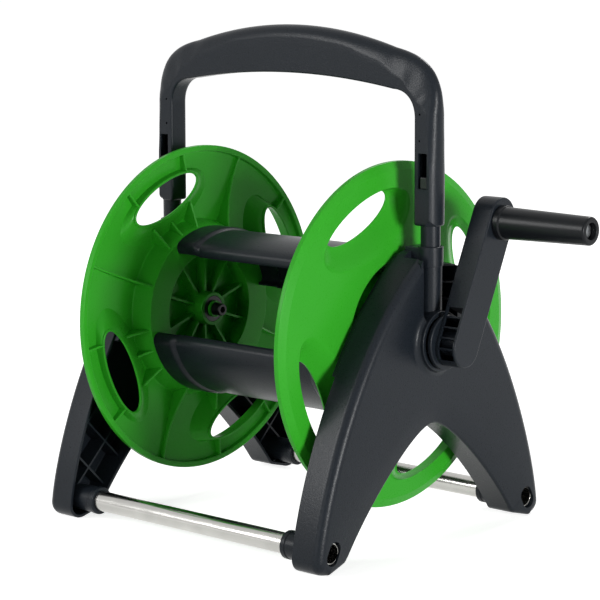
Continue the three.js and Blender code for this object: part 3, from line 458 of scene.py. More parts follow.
# a tree with its named inputs, given as name and kind
def newTree(name, sockets):
    tree = bpy.data.node_groups.new(name, "GeometryNodeTree")
    for label, kind in sockets.items():
        tree.interface.new_socket(label, in_out="INPUT", socket_type="NodeSocket" + kind)
    tree.interface.new_socket("Geometry", in_out="OUTPUT", socket_type="NodeSocketGeometry")
    return tree, addNode(tree, "NodeGroupInput").outputs


def endTree(tree, given, shape):
    real = addNode(tree, "GeometryNodeRealizeInstances", {"Geometry": shape.outputs[0]})
    done = addNode(tree, "GeometryNodeSetMaterial", {
        "Geometry": real.outputs[0], "Material": given["Material"]})
    addNode(tree, "NodeGroupOutput", {"Geometry": done.outputs[0]})
    return tree


# one copy of the given geometry on every point
def endWithCopies(tree, given, points, rotation=None):
    inputs = {"Points": points.outputs[0], "Instance": given["Geometry"]}
    if rotation:
        inputs["Rotation"] = rotation.outputs[0]
    return endTree(tree, given, addNode(tree, "GeometryNodeInstanceOnPoints", inputs))


def runTree(obj, tree, values):
    modifier = obj.modifiers.new(tree.name, "NODES")
    modifier.node_group = tree
    for item in tree.interface.items_tree:
        if item.item_type == "SOCKET" and item.in_out == "INPUT" and item.name in values:
            modifier[item.identifier] = values[item.name]
    bpy.context.view_layer.update()
    return settled(obj)


# what repeats about the axle
def growRing():
    tree, given = newTree("repeatAboutAxle", {
        "Geometry": "Geometry", "Count": "Int", "First Angle": "Float", "Step Angle": "Float",
        "Material": "Material"})
    points = addNode(tree, "GeometryNodePoints", {"Count": given["Count"]})
    index = addNode(tree, "GeometryNodeInputIndex").outputs[0]
    turn = addNode(tree, "ShaderNodeMath", {
        0: index, 1: given["Step Angle"], 2: given["First Angle"]}, operation="MULTIPLY_ADD")
    radians = addNode(tree, "ShaderNodeMath", {0: turn.outputs[0]}, operation="RADIANS")
    rotation = addNode(tree, "ShaderNodeCombineXYZ", {"X": radians.outputs[0]})
    return endWithCopies(tree, given, points, rotation)


ringTree = growRing()


def aboutAxle(obj, count, first):
    return runTree(obj, ringTree, {
        "Count": count, "First Angle": float(first), "Step Angle": 360 / count,
        "Material": greenPlastic})


# drum discs, drawn as the right-hand one
disc = {
    "radius": 165, "rimStart": 125, "rimOuter": 133.4, "rimWidth": 6, "bandWidth": 8, "bandDrop": 3,
    "wall": 2.6, "webAtHub": 139, "ringBase": 90, "ringRadius": 84, "trough": 75, "hubFace": 115,
    "cavityRadius": 57.5, "plateFace": 135, "bossRadius": 17, "bossFace": 110, "boreRadius": 13.3,
    "count": 144, "cavityRibs": 10, "cavityTurn": 18, "squareBore": 18.6, "squareTurn": -24.5,
    "holeAngle": 23.9, "holeCount": 4, "holeRadius": 125.8, "holeHalf": (45.9, 15.7),
    "scoopRadius": 114, "scoopHalf": (66, 27.5), "scoopSpread": 7, "scoopRises": (2.2, 12),
    "lip": 123, "lipSoft": 0.7, "lipLead": 9, "collar": 2, "ellipseCount": 72,
    "ribWall": 2.4, "fanAngle": 15,
    # the rounded free edge: place across as a share of half the wall, and how far it is lowered
    "ribCrest": ((-1, 0.9), (-0.72, 0.3), (-0.3, 0), (0.3, 0), (0.72, 0.3), (1, 0.9)),
    # the ribs' free edges: radius and place along the axle
    "longRib": ((83, 115.5), (121.5, 126.8), (160, 125.6)),
    "fanRib": ((83, 116.8), (96.5, 120.2), (110.1, 123)),
    "tabRib": ((83, 116.8), (91, 122.2), (99, 127)),
    "shortRib": ((140.5, 123.6), (150, 124.5), (160, 125.2)),
}


# place of the dished web's outer face at a radius
def webAt(radius):
    bandInside = disc["radius"] - disc["bandWidth"]
    share = (bandInside - radius) / (bandInside - disc["trough"])
    return lerp(disc["rimOuter"], disc["webAtHub"], share)


# an ellipse round a hand hole on the +y side; its long side lies across the radius
def holeLoop(radius, half, grow=0.0):
    loop = []
    for i in range(disc["ellipseCount"]):
        angle = 2 * math.pi * i / disc["ellipseCount"]
        loop.append((radius + (half[1] + grow) * math.cos(angle),
                     (half[0] + grow) * math.sin(angle)))
    return loop


def discShell():
    bandInside = disc["radius"] - disc["bandWidth"]
    rimInside = disc["radius"] - disc["rimWidth"]
    wall = disc["wall"]
    return turned("disc", rounded([
        (0, disc["bossFace"]),
        (disc["bossRadius"], disc["bossFace"]),
        (disc["bossRadius"], disc["plateFace"] - wall),
        (disc["cavityRadius"], disc["plateFace"] - wall),
        (disc["cavityRadius"], disc["hubFace"]),
        (disc["ringRadius"], disc["hubFace"]),
        (disc["ringBase"], webAt(disc["ringBase"]) - wall),
        (rimInside, webAt(rimInside) - wall),
        (rimInside, disc["rimStart"]),
        (disc["radius"], disc["rimStart"]),
        (disc["radius"], disc["rimOuter"] - disc["bandDrop"]),
        (bandInside, disc["rimOuter"]),
        (disc["trough"], disc["webAtHub"]),
        (disc["trough"], disc["hubFace"] + wall),
        (disc["cavityRadius"] + wall, disc["hubFace"] + wall),
        (disc["cavityRadius"] + wall, disc["plateFace"]),
        (0, disc["plateFace"]),
    ], [0, 0.8, 1, 1.2, 0.7, 0.7, 1.5, 1.5, 1.3, 1.3, 0.9, 0.4, 0.8, 1.2, 1.2, 0.8, 0], False),
    disc["count"])


# the bowl that leads into a hand hole: as a plug for its wall, or open at both ends to cut it out
def scoop(plug):
    grow = disc["wall"] if plug else 0
    lip, collar = disc["lip"], disc["lip"] + disc["collar"]
    soft = disc["lipSoft"]
    rings = []
    if plug:
        ends = ((lip, grow - soft), (lip + 0.2, grow - 0.25), (lip + soft, grow))
    else:
        ends = ((lip - disc["lipLead"], soft), (lip, soft), (lip + 0.25, 0.25), (lip + soft, 0))
    for place, own in ends:
        rings.append([(place, y, z) for y,
                      z in holeLoop(disc["holeRadius"], disc["holeHalf"], own)])
    hole = holeLoop(disc["holeRadius"], disc["holeHalf"], grow)
    outline = holeLoop(disc["scoopRadius"], disc["scoopHalf"], grow)
    sink = disc["wall"] / 2 if plug else 0
    steps = 10
    for i in range(steps + 1):
        share = i / steps
        height = lerp(share, smooth(share), 0.55)
        rings.append([
            (lerp(collar, webAt(math.hypot(by, bz)) - sink, height), lerp(ay, by, share),
             lerp(az, bz, share))
            for (ay, az), (by, bz) in zip(hole, outline)])
    if not plug:
        wide = holeLoop(disc["scoopRadius"], disc["scoopHalf"], disc["scoopSpread"])
        for rise in disc["scoopRises"]:
            rings.append([(webAt(math.hypot(by, bz)) + rise, y, z)
                          for (by, bz), (y, z) in zip(outline, wide)])
    return newObject("scoop", *joinRings(rings))


# a rib on the web under a curved free edge through three points
def discRib(edge):
    steps = 10
    top = []
    for i in range(steps + 1):
        share = i / steps
        bend = 4 * share * (1 - share)
        top.append([lerp(a, c, share) + (b - (a + c) / 2) * bend for a, b, c in zip(*edge)])
    root, half = disc["wall"] / 2, disc["ribWall"] / 2
    first, last = edge[0][0], edge[-1][0]
    foot = [(last, webAt(last) - root), (first, webAt(max(first, disc["ringBase"])) - root)]
    rings = []
    for place, lowered in disc["ribCrest"]:
        crest = [(x + lowered, radius, place * half) for radius, x in top]
        rings.append(crest + [(x, radius, place * half) for radius, x in foot])
    return newObject("rib", *joinRings(rings))


def drumDisc(square):
    shell = discShell()
    count, first, fan = disc["holeCount"], disc["holeAngle"], disc["fanAngle"]
    added = [aboutAxle(scoop(True), count, first)]
    for edge, turns in (("longRib", [180 / count]), ("fanRib", [-fan, fan]), ("tabRib", [0]),
                        ("shortRib", [-fan, fan])):
        for turn in turns:
            added.append(aboutAxle(discRib(disc[edge]), count, first + turn))
    half = disc["ribWall"] / 2
    cavity = block("cavityRib", (disc["hubFace"] + 6, disc["bossRadius"] - 1, -half),
                   (disc["plateFace"] - 1, disc["cavityRadius"] + 1, half))
    added.append(aboutAxle(cavity, disc["cavityRibs"], disc["cavityTurn"]))
    if square:
        side = disc["squareBore"] / 2
        bore = move(block("bore", (0, -side, -side), (200, side, side)), disc["squareTurn"])
    else:
        bore = rod("bore", disc["boreRadius"], 0, 200, 48)
    combine(shell, "UNION", *added)
    return combine(shell, "DIFFERENCE", aboutAxle(scoop(False), count, first), bore)


finishPiece(drumDisc(True), "rightDrumDisc", "green_plastic", "drum", ["right_drum_disc"],
            axleHeight, 24)
finishPiece(mirrored(drumDisc(False)), "leftDrumDisc", "green_plastic", "drum", ["left_drum_disc"],
            axleHeight, 24)
print("drum discs made")

# barrel staves: one curved sheet each, its long edges turned in, a little larger at both ends
stave = {"radius": 82.0, "rise": 2.4, "wall": 3.0, "halfLength": 114.7, "band": 24.0, "slope": 4.0,
         "start": 12.0, "arc": 114.0, "edgeDepth": 10.0, "corner": 8.0, "soft": 0.8, "stations": 90}

# the section follows a line along the axle and grows towards both ends
def growStave():
    tree, given = newTree("barrelStave", {
        "Geometry": "Geometry", "Half Length": "Float", "Stations": "Int", "Growth": "Float",
        "Band": "Float", "Slope": "Float", "Material": "Material"})
    back = addNode(tree, "ShaderNodeMath", {0: given["Half Length"], 1: -1.0}, operation="MULTIPLY")
    start = addNode(tree, "ShaderNodeCombineXYZ", {"X": back.outputs[0]})
    end = addNode(tree, "ShaderNodeCombineXYZ", {"X": given["Half Length"]})
    line = addNode(tree, "GeometryNodeCurvePrimitiveLine",
                   {"Start": start.outputs[0], "End": end.outputs[0]})
    path = addNode(tree, "GeometryNodeResampleCurve",
                   {"Curve": line.outputs[0], "Count": given["Stations"]})
    section = addNode(tree, "GeometryNodeMeshToCurve", {"Mesh": given["Geometry"]})
    flat = addNode(tree, "ShaderNodeMath", {0: given["Half Length"], 1: given["Band"]},
                   operation="SUBTRACT")
    waist = addNode(tree, "ShaderNodeMath", {0: flat.outputs[0], 1: given["Slope"]},
                    operation="SUBTRACT")
    where = addNode(tree, "ShaderNodeSeparateXYZ",
                    {0: addNode(tree, "GeometryNodeInputPosition").outputs[0]})
    reach = addNode(tree, "ShaderNodeMath", {0: where.outputs[0]}, operation="ABSOLUTE")
    scale = addNode(tree, "ShaderNodeMapRange", {
        "Value": reach.outputs[0], "From Min": waist.outputs[0], "From Max": flat.outputs[0],
        "To Min": 1.0, "To Max": given["Growth"]}, interpolation_type="SMOOTHSTEP")
    swept = addNode(tree, "GeometryNodeCurveToMesh", {
        "Curve": path.outputs[0], "Profile Curve": section.outputs[0],
        "Scale": scale.outputs["Result"],
        "Fill Caps": True})
    return endTree(tree, given, swept)


staveTree = growStave()


def polar(radius, angle):
    return radius * math.cos(math.radians(angle)), radius * math.sin(math.radians(angle))


# one side of the section, from one turned-in edge over the arc to the other
def staveLine(radius, corner, inwards):
    foot = stave["radius"] - stave["edgeDepth"]
    first, last = stave["start"] + inwards, stave["start"] + stave["arc"] - inwards
    turn = math.degrees(corner / radius)
    kappa = quarterBend
    low = radius - corner
    into = [polar(foot, first)] + bezier(polar(low, first), polar(low + kappa * corner, first),
                                         polar(radius, first + turn * (1 - kappa)),
                                         polar(radius, first + turn), 7)
    out = bezier(polar(radius, last - turn), polar(radius, last - turn * (1 - kappa)),
                 polar(low + kappa * corner, last), polar(low, last), 7) + [polar(foot, last)]
    steps = 40
    middle = [polar(radius, lerp(first + turn, last - turn, i / steps)) for i in range(1, steps)]
    return into + middle + out


def staveSection():
    wall = stave["wall"]
    outer = staveLine(stave["radius"], stave["corner"], 0)
    inner = staveLine(stave["radius"] - wall, stave["corner"] - wall,
                      math.degrees(wall / stave["radius"]))
    loop = outer + inner[::-1]
    corners = (0, len(outer) - 1, len(outer), len(loop) - 1)
    softs = [stave["soft"] if i in corners else 0 for i in range(len(loop))]
    return rounded(loop, softs)


for name, node, turn in (("upperBarrelStave", "upper_barrel_stave", 0),
                         ("lowerBarrelStave", "lower_barrel_stave", 180)):
    section = staveSection()
    count = len(section)
    mesh = bpy.data.meshes.new(name)
    mesh.from_pydata([(-y, -z, 0) for y, z in section],
                     [(i, (i + 1) % count) for i in range(count)], [])
    sheet = runTree(linked(name, mesh), staveTree, {
        "Half Length": stave["halfLength"], "Stations": stave["stations"],
        "Growth": 1 + stave["rise"] / stave["radius"], "Band": stave["band"],
        "Slope": stave["slope"],
        "Material": anthracitePlastic})
    move(outwards(sheet), turn)
    finishPiece(sheet, name, "anthracite_plastic", "drum", [node], axleHeight, 26)
print("barrel staves made")

# side frames, drawn as the right-hand one, z from the ground

sideFrame = {
    "face": 180, "inner": 147, "wall": 3, "edgeRound": 9, "archRound": 2.5, "footRound": 4,
    "footReach": 166, "footCorner": 13, "footInside": (124, 6.5), "footInsideRound": 10.5,
    "footToe": (149.5, 0), "footToeRound": 14,
    "knee": (162, 55), "shoulder": (115, 208), "crown": (12, 278.5), "crownRound": 20,
    "archKnee": (100, 45), "archCrown": (28, 116), "archTop": 116,
    "archSteps": 30, "archShare": 0.965, "sideSteps": 46, "sideShare": 0.983,
    "chamferWidth": 24, "chamferDrop": 3.2, "creaseFoot": 16, "creaseShort": 6,
    "lipStart": 141, "lipInset": 2.2, "lipFoot": 170,
    "bracePitch": 46, "braceDepth": 24, "braceWall": 2, "braceMiddle": 132.8, "braceReach": 60,
    "barReach": 145, "barHeight": 19, "barRadius": 10, "ferruleRadius": 13.5, "ferruleLength": 22,
    "slotHalf": (11.5, 8), "slotTilt": 28,
    "hubRadius": 19, "bushBore": 16, "journalBore": 13.3, "tubeEndRight": 137.2,
    "tubeEndLeft": 135.3,
    "recessFloor": 156, "recessFront": -19.4, "recessRear": 31, "recessHub": 24.5,
    "collarWall": 4, "collarFace": 187, "collarFlare": 7,
    "ribRises": (36, 52, 68), "ribFace": 177.5, "ribWall": 1.8, "ribHollow": 25,
    "ribHollowAt": (188.75, 5.8),
    "postX": 170, "postY": 2.5, "postBore": 9.6, "socketRadius": 12.1, "tubeRadius": 11.2,
    "socketFoot": 30, "collarFoot": 69.5, "socketTop": 88,
}


# the outline, counter-clockwise from the top of the arch, each point with its kind of edge
def frameLoop():
    foot = sideFrame["footInside"]
    toe = sideFrame["footToe"]
    reach = sideFrame["footReach"]
    outer = sideFrame["footCorner"]
    arch = bezier((0, sideFrame["archTop"]), sideFrame["archCrown"], sideFrame["archKnee"], foot,
                  sideFrame["archSteps"], sideFrame["archShare"])
    half = [(p, "arch") for p in arch]
    half += [(p, "foot") for p in cornerArc(foot, arch[-1], toe, sideFrame["footInsideRound"])]
    half += [(p, "foot") for p in cornerArc(toe, foot, (reach, 0), sideFrame["footToeRound"])]
    half += [(p, "edge") for p in cornerArc((reach, 0), (0, 0), (reach, 50), outer, 10)]
    crown = sideFrame["crown"]
    side = bezier((reach, outer), sideFrame["knee"], sideFrame["shoulder"], crown,
                  sideFrame["sideSteps"], sideFrame["sideShare"])
    half += [(p, "edge") for p in side[1:]]
    top = cornerArc(crown, sideFrame["shoulder"], (0, crown[1]), sideFrame["crownRound"])
    half += [(p, "edge") for p in top[1:]]
    half.append(((0, crown[1]), "edge"))
    other = [((-p[0], p[1]), kind) for p, kind in reversed(half[1:-1])]
    return half + other


# a hollow moulding, open at the back: outer skin, rim and inner skin
def frameShell():
    outline = frameLoop()
    loop = [p for p, kind in outline]
    kinds = {"arch": sideFrame["archRound"], "foot": sideFrame["footRound"],
             "edge": sideFrame["edgeRound"]}
    rounds = [kinds[kind] for p, kind in outline]
    count = len(loop)
    for _ in range(3):
        rounds = [(rounds[i - 1] + rounds[i] + rounds[(i + 1) % count]) / 3 for i in range(count)]
    arch = [Vector(p) for p, kind in outline if kind == "arch"]

    def faceX(y, z):
        here = Vector((y, z))
        near = min((here - a).length for a in arch)
        share = max(0, 1 - near / sideFrame["chamferWidth"])
        return sideFrame["face"] - sideFrame["chamferDrop"] * share

    def ringsFor(depth, steps):
        radii = [max(r - depth, 0.6) for r in rounds]
        rings = []
        for i in range(steps + 1):
            angle = math.pi / 2 * i / steps
            moved = inset(loop, [depth + r * (1 - math.cos(angle)) for r in radii])
            rings.append([(faceX(y, z) - depth - r * (1 - math.sin(angle)), y, z)
                          for (y, z), r in zip(moved, radii)])
        return rings

    wall = sideFrame["wall"]
    outer = ringsFor(0, 6)
    inner = ringsFor(wall, 3)
    soft = 0.5
    start = [(sideFrame["inner"] + soft, y, z) for y, z in loop]
    rim = [(sideFrame["inner"], y, z) for y, z in inset(loop, soft)]
    rimInner = [(sideFrame["inner"], y, z) for y, z in inset(loop, wall - soft)]
    startInner = [(sideFrame["inner"] + soft, y, z) for y, z in inset(loop, wall)]
    points, faces = [], []
    addPart(points, faces,
            joinRings(outer[::-1] + [start, rim, rimInner, startInner] + inner, False))
    for ring, depth in ((outer[-1], 0), (inner[-1], wall)):
        flat = [(y, z) for x, y, z in ring]
        edges = [(i, (i + 1) % count) for i in range(count)]
        if depth == 0:
            line = inset(loop, sideFrame["chamferWidth"])
            crease = [line[i] for i, (p, kind) in enumerate(outline)
                      if kind == "arch" and line[i][1] > sideFrame["creaseFoot"]]
            crease = sorted(crease, key=lambda p: p[0])
            first = len(flat)
            flat = flat + crease
            edges += [(first + i, first + i + 1) for i in range(len(crease) - 1)]
            for index in (0, len(crease) - 1):
                side = math.copysign(1, crease[index][0])
                across = (sideFrame["footInside"][0] + sideFrame["chamferWidth"]
                          - sideFrame["creaseShort"])
                target = Vector((side * across, 0))
                near = min(range(count), key=lambda i: (Vector(flat[i]) - target).length)
                edges.append((first + index, near))
        border = flat[:count]
        result = delaunay_2d_cdt([Vector(p) for p in flat], edges, [], 0, 1e-5, False)
        lifted = [(faceX(p.x, p.y) - depth, p.x, p.y) for p in result[0]]
        kept = []
        for face in result[2]:
            centre = sum((result[0][i] for i in face), Vector((0, 0))) / len(face)
            if insideLoop(centre, border):
                kept.append(tuple(face))
        addPart(points, faces, (lifted, kept))
    return newObject("frameShell", points, faces), loop


# the lip that runs close to the drum along the upper edge
def frameLip(loop):
    chosen = [i for i, (y, z) in enumerate(loop) if z >= sideFrame["lipFoot"]]
    start = min(chosen, key=lambda i: (loop[i][0] < 0, loop[i][1]))
    order = [(start + k) % len(loop) for k in range(len(chosen))]
    near, far = sideFrame["lipInset"], sideFrame["lipInset"] + sideFrame["wall"]
    low, high = sideFrame["lipStart"], sideFrame["inner"]
    section = rounded([(near - 2, high + 0.2), (near - 2, high + 3), (far, high + 3), (far, low),
                       (near, low),
                       (near, high + 0.2)], [0, 0, 0, 0.8, 0.8, 0], True, 3)
    moved = {depth: inset(loop, depth) for depth in {d for d, x in section}}
    rings = [[(x, *moved[depth][i]) for depth, x in section] for i in order]
    return newObject("lip", *joinRings(rings))


# a row of braces up the middle of each leg
def growBraces():
    tree, given = newTree("crossedBraces", {
        "Geometry": "Geometry", "Count": "Int", "Pitch": "Float", "Lean": "Float", "Reach": "Float",
        "Material": "Material"})
    step = addNode(tree, "ShaderNodeCombineXYZ", {"Z": given["Pitch"]})
    both = addNode(tree, "GeometryNodeJoinGeometry")
    for side in (-1.0, 1.0):
        reach = addNode(tree, "ShaderNodeMath", {0: given["Reach"], 1: side}, operation="MULTIPLY")
        start = addNode(tree, "ShaderNodeCombineXYZ", {"Y": reach.outputs[0]})
        line = addNode(tree, "GeometryNodeMeshLine", {
            "Count": given["Count"], "Start Location": start.outputs[0], "Offset": step.outputs[0]},
            mode="OFFSET")
        tree.links.new(line.outputs[0], both.inputs[0])
    lean = addNode(tree, "ShaderNodeMath", {0: given["Lean"]}, operation="RADIANS")
    rotation = addNode(tree, "ShaderNodeCombineXYZ", {"X": lean.outputs[0]})
    return endWithCopies(tree, given, both, rotation)


braceTree = growBraces()


def legBraces(loop, lean):
    half = sideFrame["braceWall"] / 2
    start = sideFrame["face"] - sideFrame["braceDepth"]
    reach = sideFrame["braceReach"]
    rib = block("brace", (start, -reach, -half), (sideFrame["face"] - 1, reach, half))
    braces = runTree(rib, braceTree, {
        "Count": 4, "Pitch": float(sideFrame["bracePitch"]), "Lean": float(lean),
        "Reach": float(sideFrame["braceMiddle"]), "Material": anthracitePlastic})
    solid = plate("zone", inset(loop, sideFrame["wall"] - 1), start - 1,
                  sideFrame["face"] - sideFrame["wall"] - 0.4)
    below = block("below", (start - 2, -200, -1), (200, 200, sideFrame["archTop"]))
    combine(solid, "INTERSECT", below)
    return combine(braces, "INTERSECT", solid)


def hubAt(obj):
    return move(obj, 0, (0, 0, axleHeight))


def recessBlock(name, grow, start, end):
    front, rear = sideFrame["recessFront"] - grow, sideFrame["recessRear"] + grow
    slot = plate(name, rectangle(front, axleHeight, rear, axleHeight + 104), start, end)
    hub = sideFrame["recessHub"] + grow
    return combine(slot, "UNION", hubAt(rod("round", hub, start, end, 72)))


def ringX(name, inside, outside, start, end, soft=0.6, count=64):
    profile = [(inside, start), (outside, start), (outside, end), (inside, end)]
    return turned(name, rounded(profile, soft), count)


# the collar round the crank's hub grows out of the face in a smooth flare
def hubCollarFoot():
    face, top = sideFrame["face"], sideFrame["collarFace"]
    rim = sideFrame["recessHub"] + sideFrame["collarWall"]
    flare = sideFrame["collarFlare"]
    sweep = bezier((rim + flare, face - 0.1), (rim + flare * 0.45, face), (rim, face + flare * 0.2),
                   (rim, face + flare * 0.75), 8)
    return hubAt(turned("flare", [(0, face - 2), (rim + flare + 0.5, face - 2)] + sweep + [
        (rim, top - 1), (rim - 1, top), (0, top)], 96))


# Solids that are joined end at slightly different depths, so that no two faces lie in one plane.

# the crank's recess: its pan, the cross ribs above the hub and the collar round it
def addRecess(shell, loop):
    face, inner, wall = sideFrame["face"], sideFrame["inner"], sideFrame["wall"]
    hub, floor = sideFrame["hubRadius"], sideFrame["recessFloor"]
    zone = plate("zone", inset(loop, 1.0), inner, face - 0.6)
    pan = combine(recessBlock("pan", wall, floor - wall, face - 0.6), "INTERSECT", zone)
    combine(shell, "UNION", pan, hubCollarFoot())
    combine(shell, "DIFFERENCE", recessBlock("recess", 0, floor, face + 20))
    stub = hubAt(turned("stub", rounded([(0, 150), (hub, 150), (hub, floor + 4), (0, floor + 4)],
                                        [0, 0, 0.8, 0], False), 64))
    ribs = []
    half = sideFrame["ribWall"] / 2
    for rise in sideFrame["ribRises"]:
        z = axleHeight + rise
        rib = block("rib", (inner + 6, sideFrame["recessFront"] - 1, z - half),
                    (sideFrame["ribFace"], sideFrame["recessRear"] + 1, z + half))
        combine(rib, "DIFFERENCE", rod("hollow", sideFrame["ribHollow"], 200, 300, 96, "z",
                                       (*sideFrame["ribHollowAt"], 0)))
        ribs.append(combine(rib, "INTERSECT", plate("zone", inset(loop, 1.0), inner, face + 10)))
    ring = hubAt(ringX("collar", sideFrame["recessHub"],
                       sideFrame["recessHub"] + sideFrame["collarWall"],
                       floor - 1, sideFrame["collarFace"], 1.0, 96))
    combine(shell, "UNION", stub, ring, *ribs)


# the socket in the crown for the handle's post, and the throat that joins it to the frame
def addSocket(shell, right):
    x, y, radius = sideFrame["postX"], sideFrame["postY"], sideFrame["socketRadius"]
    foot = axleHeight + sideFrame["socketFoot"] - sideFrame["wall"]
    top = axleHeight + sideFrame["socketTop"]
    collarFoot = axleHeight + sideFrame["collarFoot"] if right else foot
    small = sideFrame["tubeRadius"] if right else radius
    socket = turned("socket", rounded(
        [(0, foot), (small, foot), (small, collarFoot), (radius, collarFoot + 0.01), (radius, top),
         (0, top)],
        [0, 0.8, 0, 0.4, 0.9, 0], False), 64, "z", (x, y, 0))
    throat = block("throat", (sideFrame["inner"] + 1, y - radius + 1, foot),
                   (x, y + radius - 1, top - 1), 0.8)
    combine(shell, "UNION", throat, socket)
    return rod("bore", sideFrame["postBore"], axleHeight + sideFrame["socketFoot"], top + 9, 56,
               "z", (x, y, 0))


# a ferrule for each cross bar; gives back what is cut out for the bar and the slot in the foot
def addFerrules(shell):
    face, wall, ferrule = sideFrame["face"], sideFrame["wall"], sideFrame["ferruleRadius"]
    start = sideFrame["inner"] - sideFrame["ferruleLength"]
    cuts = []
    for side in (-1, 1):
        at = (0, side * sideFrame["barReach"], sideFrame["barHeight"])
        socket = move(turned("ferrule", rounded(
            [(0, start), (ferrule, start), (ferrule, start + 5), (ferrule - 0.7, start + 6),
             (ferrule - 0.7, face - 1.4), (0, face - 1.4)], [0, 0.9, 0.3, 0.3, 0, 0], False), 56),
             0, at)
        combine(shell, "UNION", socket)
        cuts.append(move(rod("bore", sideFrame["barRadius"] + gap, start - 1, face - wall, 56), 0,
                         at))
        slot = plate("slot", stadium(*sideFrame["slotHalf"]), face - wall - 3, face + 3)
        cuts.append(move(slot, side * sideFrame["slotTilt"], at))
    return cuts


def makeFrame(right):
    shell, loop = frameShell()
    combine(shell, "UNION", frameLip(loop))
    for lean in (-45, 45):
        combine(shell, "UNION", legBraces(loop, lean))
    hub, root = sideFrame["hubRadius"], sideFrame["face"] - 1.2
    tubeEnd = sideFrame["tubeEndRight"] if right else sideFrame["tubeEndLeft"]
    tube = hubAt(turned("hubTube", rounded(
        [(0, tubeEnd), (hub, tubeEnd), (hub, root), (0, root)], [0, 0.8, 0, 0], False), 64))
    combine(shell, "UNION", tube)
    if right:
        addRecess(shell, loop)
    postBore = addSocket(shell, right)
    cuts = addFerrules(shell)
    bore = sideFrame["bushBore"] if right else sideFrame["journalBore"]
    return combine(shell, "DIFFERENCE", *cuts, hubAt(rod("bore", bore, 100, 200, 64)), postBore)


finishPiece(makeFrame(True), "rightSideFrame", "anthracite_plastic", "frame", ["right_side_frame"])
finishPiece(mirrored(makeFrame(False)), "leftSideFrame", "anthracite_plastic", "frame",
            ["left_side_frame"])
print("side frames made")

# cross bars

bar = {"radius": 10, "wall": 1.2, "end": 176.7, "reach": 145, "height": 19}
for name, node, side in (("frontCrossBar", "front_cross_bar", -1),
                         ("rearCrossBar", "rear_cross_bar", 1)):
    tube = ringX(name, bar["radius"] - bar["wall"], bar["radius"], -bar["end"], bar["end"], 0.35)
    finishPiece(move(tube, 0, (0, side * bar["reach"], bar["height"])), name, "polished_steel",
                "frame", [node])

# handle posts, carry handle and latch buttons

post = {"x": 170, "y": 2.5, "radius": 9.3, "wall": 2.3, "foot": 225.3, "top": 381.3,
        "holeHalf": 4.1, "holeFoot": 336.7, "holeTop": 348.1,
        "windowHalf": 5.25, "windowShift": 1.0, "windowFoot": 347.8, "windowTop": 369.7}
for name, node, side in (("leftHandlePost", "left_handle_post", -1),
                         ("rightHandlePost", "right_handle_post", 1)):
    inside, outside = post["radius"] - post["wall"], post["radius"]
    tube = turned(name,
                  rounded([(inside, post["foot"]), (outside, post["foot"]), (outside, post["top"]),
                                 (inside, post["top"])], 0.5), 56, "z")
    hole = block("hole", (-post["holeHalf"], -20, post["holeFoot"]),
                 (post["holeHalf"], 0, post["holeTop"]))
    middle, half = -side * post["windowShift"], post["windowHalf"]
    window = block("window", (middle - half, -20, post["windowFoot"]),
                   (middle + half, 0, post["windowTop"]))
    combine(tube, "DIFFERENCE", hole, window)
    finishPiece(move(tube, 0, (side * post["x"], post["y"], 0)), name, "anthracite_plastic",
                "frame", [node])

handle = {
    "side": 23.2, "x": 170, "y": 2.5, "foot": 302, "top": 484, "grip": 46, "crownRadius": 446,
    "bellyRadius": 833, "shoulderOuter": 54, "shoulderInner": 26, "bendSteps": 26,
    "frontRound": 2.6, "rearRound": 5,
    "creases": [(0, 0.806), (44, 0.806), (71, 0.745), (100, 0.62), (112, 0.4), (124, 0.22),
                (140, 0.19),
                (156, 0.36), (186, 0.6), (232, 0.72), (290, 0.735)],
    "tilts": [(0, 0), (90, 0), (112, 10), (140, 15), (186, 13), (232, 8), (290, 4)],
    "bore": 9.6, "boreTop": 411, "windowHalf": 5.25, "windowShift": 1.0, "windowFoot": 336.7,
    "windowTop": 369.7,
    "facet": {"rise": 6, "crease": 7.1, "across": 0.6, "back": -3.6, "reach": (40, -40, -8)},
    "pinholes": ((-4.6, 405.5), (-4.6, 381)), "pinholeRadius": 1.1, "footSoft": 2.2,
}


def crown(x):
    return handle["top"] - x * x / 2 / handle["crownRadius"]


def belly(x):
    return handle["top"] - handle["grip"] - x * x / 2 / handle["bellyRadius"]


def track(table, place):
    for (a, va), (b, vb) in zip(table, table[1:]):
        if place <= b:
            return lerp(va, vb, smooth(max(0, (place - a) / (b - a))) if b > a else 0)
    return table[-1][1]


# pairs of outer and inner points from the right leg's foot to the middle of the grip
def handleStations():
    out, within = handle["x"] + handle["side"] / 2, handle["x"] - handle["side"] / 2
    bend, tight = handle["shoulderOuter"], handle["shoulderInner"]
    outStart, inStart = out - bend, within - tight
    legTopOut, legTopIn = crown(outStart) - bend, belly(inStart) - tight
    pairs = []
    legSteps = 22
    for i in range(legSteps):
        share = i / legSteps
        pairs.append(((out, lerp(handle["foot"], legTopOut, share)),
                      (within, lerp(handle["foot"], legTopIn, share))))
    outer = bezier((out, legTopOut), (out, crown(outStart) - bend * 0.35),
                   (out - bend * 0.35, crown(outStart) - bend * 0.12), (outStart, crown(outStart)),
                   handle["bendSteps"])
    inner = bezier((within, legTopIn), (within, belly(inStart) - tight * 0.4),
                   (within - tight * 0.4, belly(inStart)), (inStart, belly(inStart)),
                   handle["bendSteps"])
    pairs += list(zip(outer, inner))
    gripSteps = 22
    for i in range(1, gripSteps + 1):
        share = i / gripSteps
        xo, xi = lerp(outStart, 0, share), lerp(inStart, 0, share)
        pairs.append(((xo, crown(xo)), (xi, belly(xi))))
    return pairs


